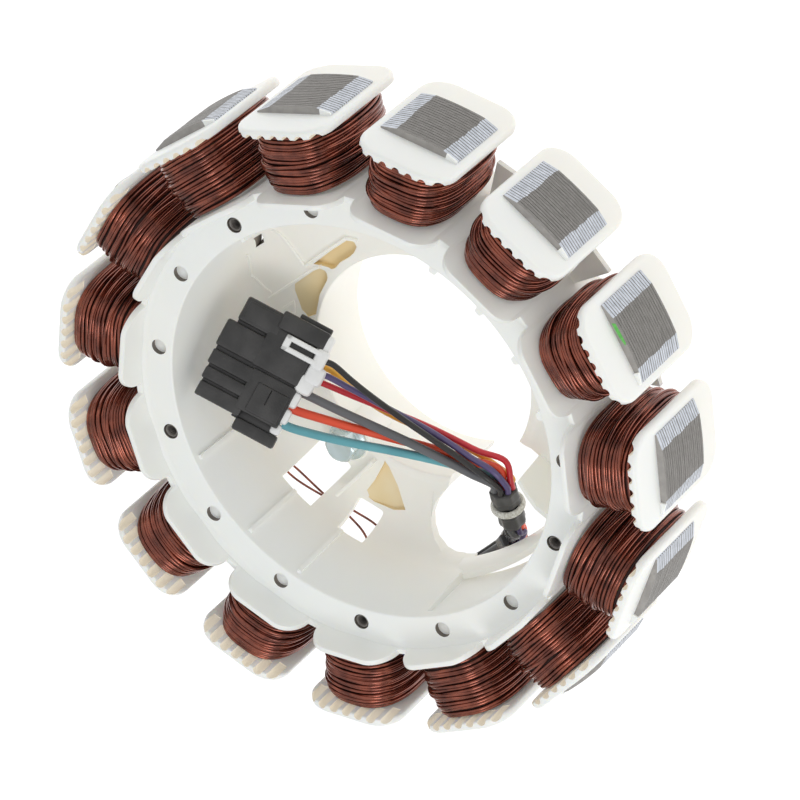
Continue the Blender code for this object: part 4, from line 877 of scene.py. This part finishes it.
def coil(number):
    dice = random.Random(7 * number + 3)
    waves = [(f, dice.uniform(0, 2 * pi), dice.uniform(0.5, 1.0)) for f in (0.37, 0.83, 1.31, 2.23, 3.71)]
    pitch_x = (coil_to - coil_from) / (coil_turns - 1)
    cross = dice.uniform(-0.22, 0.22)
    nudges = [(dice.uniform(-0.00030, 0.00030), dice.uniform(-0.00030, 0.00035)) for _ in range(coil_turns + 2)]
    path = []
    for i in range(coil_turns * turn_steps + 1):
        u = i / turn_steps
        angle = 2 * pi * u - pi / 2
        whole = int(u)
        within = u - whole
        shift = min(max((within - 0.5 - cross * 0.3) / 0.10 + 0.5, 0.0), 1.0)
        shift = shift * shift * (3 - 2 * shift)
        x = coil_from + pitch_x * (0.62 * (whole + shift) + 0.38 * u) - pitch_x * 0.5
        slip = sum(g * sin(2 * pi * f * u + p) for f, p, g in waves) / 3
        lift = sum(g * cos(2 * pi * f * u * 1.7 + p * 2) for f, p, g in waves) / 3
        (nudge_a, swell_a), (nudge_b, swell_b) = nudges[whole:whole + 2]
        x += 0.00026 * slip + nudge_a + (nudge_b - nudge_a) * shift
        x = min(max(x, coil_from - 0.0001), coil_to + 0.0001)
        path.append(coil_rim(x, angle, 0.00020 * lift - 0.00010 + swell_a + (swell_b - swell_a) * shift))
    parts = [tube(path, wire_r, 8)]
    for k in range(3):
        centre = coil_from + (coil_to - coil_from) * dice.uniform(0.20 + 0.20 * k, 0.36 + 0.20 * k)
        swing, start = dice.uniform(0.0008, 0.0018), dice.uniform(0, 2 * pi)
        loop = []
        for i in range(loop_steps):
            angle = 2 * pi * i / loop_steps
            x = min(max(centre + swing * sin(angle + start), coil_from), coil_to)
            loop.append(coil_rim(x, angle, 0.00055 + 0.00025 * sin(3 * angle + start)))
        parts.append(tube(loop, wire_r, 8, closed=True))
    layer_rings = []
    for i in range(9):
        x = wall_out + 0.0003 + (cap_in - wall_out - 0.0006) * i / 8
        held = min(max(x, coil_from), coil_to)
        aside = Vector((x - held, 0, 0))
        layer_rings.append([coil_rim(held, 2 * pi * k / 64, -0.0006) + aside for k in range(64)])
    return parts, lofted(layer_rings)


for pole in range(poles):
    wires, core_layer = coil(pole)
    node = "coil_%02d" % (pole + 1)
    winding = solid("%s_wire" % node, *merged(wires + [core_layer]), enamel, 60.0)
    winding.data.materials.append(painted_shade_layer)
    for face in list(winding.data.polygons)[-len(core_layer[1]):]:
        face.material_index = 1
    winding.data.transform(Matrix.Rotation(pitch * pole, 4, "Z"))
    settle(winding, node)


# Threaded inserts of zinc-plated steel, pressed into every third recess of the ring. Each is a turned ring
# with its thread cut inside.
zinc = finish("zinc_plate", (0.52, 0.62, 0.62), (0.66, 0.76, 0.77), 70.0, 0.26, 0.08, 900.0, metallic=0.62)
dull_zinc = finish("dull_steel", (0.17, 0.155, 0.145), (0.25, 0.23, 0.21), 500.0, 0.42, 0.2, 1200.0, metallic=0.5)
for number, pole in enumerate(range(1, poles, 3), 1):
    centre = at(pitch * pole, recess_circle)
    top, root_r, crest_r, thread = face_z - 0.0005, 0.00165, 0.00148, 0.0006
    profile = [(root_r, top - 0.0003), (0.0019, top), (0.0022, top), (0.0024, top - 0.0002), (0.0024, top - 0.0080),
               (root_r, top - 0.0080)]
    for k in range(12):
        profile += [(root_r, top - 0.0077 + k * thread), (crest_r, top - 0.0074 + k * thread)]
    rings = [[centre + at(2 * pi * i / 36, r, z) for r, z in profile] for i in range(36)]
    insert = solid("threaded_insert_%d_ring" % number, *lofted(rings, closed=True), dull_zinc, 30.0)
    settle(insert, "threaded_insert_%d" % number)


# Flange bolt of zinc-plated steel, screwed down into the dish's boss. Its hexagon is 10 mm across the flats
# and dished on top, and its round flange bears on the pad.
bolt_seat, flats_half, bolt_steps = 0.0318, 0.0050, 72
flange = ((0.0030, -0.0120), (0.0030, 0.0), (0.0066, 0.0), (0.0070, 0.0003), (0.0070, 0.0007), (0.0067, 0.0010),
          (0.0059, 0.0015), (0.00577, 0.0017))
bolt_rings = [circle(bolt_centre, r, bolt_seat + z, bolt_steps) for r, z in flange]
hexagon = ((0.0060, 0.0019), (0.0060, 0.0053), (0.0055, 0.0057), (0.0051, 0.0060), (0.0047, 0.0062), (0.0043, 0.0062),
           (0.0036, 0.0058), (0.0010, 0.0057))
for round_r, z in hexagon:
    ring = []
    for k in range(bolt_steps):
        a = 2 * pi * k / bolt_steps
        flat = flats_half / cos((a + radians(12) + pi / 6) % (pi / 3) - pi / 6)
        ring.append(bolt_centre + at(a, min(flat, round_r), bolt_seat + z))
    bolt_rings.append(ring)
bolt = solid("flange_bolt_head", *lofted(bolt_rings), zinc, 30.0)
settle(bolt, "flange_bolt")


# Crossover wires of enamelled copper, which join one coil to another behind the dish and show through the
# windows. Each station has its angle, its share of the wall's radius and its share of the rear face's height.
crossovers = (
    ("crossover_wire_1", (
        (111.0, 0.9870, 0.8511), (117.0, 0.9383, 0.7470), (124.3, 0.9111, 0.7045), (134.5, 0.8988, 0.6998),
        (143.7, 0.9037, 0.6998), (151.0, 0.9407, 0.7329), (156.5, 1.0074, 0.9220))),
    ("crossover_wire_2", (
        (108.0, 1.0074, 0.9220), (109.2, 0.9605, 0.7801), (117.0, 0.9827, 0.6596), (125.4, 0.9877, 0.6430),
        (134.2, 0.9432, 0.6383), (144.0, 0.8963, 0.6336), (153.5, 0.9012, 0.6525), (161.0, 0.9870, 0.7920))),
)
for name, stations in crossovers:
    route = smooth([at(radians(turn), wall_in * r, rear_z * z) for turn, r, z in stations], 8)
    wire = round_curve(name + "_wire", route, 0.0008, enamel)
    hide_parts(name)


# Connector housing moulded in charcoal plastic: two wide and three narrow cells, a collar round the plug, and
# a key along one side. The plug of white nylon is latched into it, and the leads run into its rear.
charcoal = finish("charcoal_plastic", (0.026, 0.025, 0.0245), (0.048, 0.046, 0.045), 120.0, 0.44, 0.25, 1600.0,
                  coat=0.05)
plug_white = finish("plug_nylon", (0.80, 0.80, 0.80), (0.86, 0.86, 0.85), 90.0, 0.36, 0.06, 800.0, coat=0.1)
pivot = Matrix.Translation((0.012, 0.018, 0.0))
shell_place = plug_place @ pivot @ Matrix.Rotation(radians(6.0), 4, "Z") @ pivot.inverted()


def block(low, high, bevel=0.0004):
    (x0, y0, z0), (x1, y1, z1) = [[v / 1000 for v in p] for p in (low, high)]
    ease = bevel * 0.3
    rings = []
    floor_levels = ((z0, bevel), (z0 + ease, ease), (z0 + bevel, 0.0))
    roof_levels = ((z1 - bevel, 0.0), (z1 - ease, ease), (z1, bevel))
    for z, inset in floor_levels + roof_levels:
        left, right, near, far = x0 + inset, x1 - inset, y0 + inset, y1 - inset
        fillet = max(bevel - inset, 0.0002)
        path = rounded_path([(left, near), (right, near), (right, far), (left, far)], [fillet] * 4, 3)
        rings.append([shell_place @ Vector((x, y, z)) for x, y in path])
    return lofted(rings)


housing_parts = [
    block((-3.2, 1.2, -13.8), (12.0, 9.7, -1.0), 0.0010),
    block((-2.2, 2.1, -13.0), (11.0, 8.8, -0.6), 0.0009),
    block((-5.8, 10.6, -13.8), (12.0, 20.2, -1.0), 0.0010),
    block((-5.4, 21.4, -13.8), (12.0, 26.6, -1.6), 0.0008),
    block((-4.9, 27.4, -13.8), (12.0, 31.7, -1.7), 0.0008),
    block((-4.4, 32.5, -13.8), (12.0, 37.6, -1.7), 0.0008),
    block((-2.8, 8.4, -13.4), (12.0, 12.0, -2.6), 0.0004),
    block((-5.0, 18.6, -13.4), (12.0, 23.0, -2.8), 0.0004),
    block((-4.6, 25.0, -13.4), (12.0, 29.0, -3.0), 0.0004),
    block((-4.1, 30.4, -13.4), (12.0, 34.0, -3.0), 0.0004),
    block((9.4, -0.2, -12.8), (26.3, 6.0, 0.0), 0.0009),
    block((9.0, 20.9, -12.8), (24.9, 35.4, -1.5), 0.0008),
    block((12.6, 24.4, -3.0), (24.2, 34.6, -0.9), 0.0006),
    block((9.6, 34.8, -11.8), (25.4, 38.4, -4.4), 0.0004),
    block((11.4, 37.6, -11.0), (26.6, 42.0, -3.2), 0.0010),
    block((14.5, -1.7, -9.0), (26.2, 0.4, -3.0), 0.0006),
    block((17.6, 24.9, -1.5), (17.9, 30.4, -0.75), 0.0001),
]
housing = solid("connector_housing_cells", *merged(housing_parts), charcoal, 30.0)
settle(housing, "connector_housing")
collar_parts = [
    block((7.4, 5.4, -12.8), (24.6, 20.4, -0.8), 0.0010),
    block((8.4, 19.0, -12.8), (23.8, 22.4, -2.4), 0.0004),
]
collar = solid("connector_collar", *merged(collar_parts), charcoal, 30.0)
settle(collar, "connector_housing")

plug_parts = [
    block((16.7, 1.5, -12.0), (27.4, 20.4, -2.4), 0.0006),
    block((23.6, 0.4, -9.4), (28.4, 6.6, -0.4), 0.0012),
    block((13.6, 6.2, -0.9), (26.8, 8.0, 0.9), 0.0006),
    block((13.6, 9.8, -0.9), (26.8, 11.6, 0.9), 0.0006),
    block((13.6, 6.2, -0.9), (16.0, 11.6, 0.9), 0.0006),
    block((24.6, 5.4, -8.8), (29.0, 12.4, 0.7), 0.0012),
    block((24.4, 11.0, -9.6), (30.8, 17.6, 0.0), 0.0018),
    block((23.4, 15.0, -10.2), (29.4, 21.6, -0.6), 0.0018),
    block((22.8, 21.6, -11.0), (27.2, 27.2, -2.2), 0.0014),
    block((22.8, 27.8, -11.0), (27.0, 33.2, -2.4), 0.0014),
    block((22.8, 33.6, -11.0), (26.4, 37.6, -3.4), 0.0012),
]
plug = solid("connector_plug_body", *merged(plug_parts), plug_white, 30.0)
settle(plug, "connector_plug")


# Terminal cover of white nylon, snapped on under the ring's rear face, where the leads meet the coils' ends.
# It keeps the solid's own shape.
# The cover takes the same painted glow, and the same painted shade lower down, as the ring's nylon.
cover_skin = nylon_finish("terminal_cover_nylon", (0.80, 0.81, 0.78), (0.85, 0.84, 0.79), (0.86, 0.81, 0.70))
bpy.data.objects["terminal_cover"].data.materials[0] = cover_skin
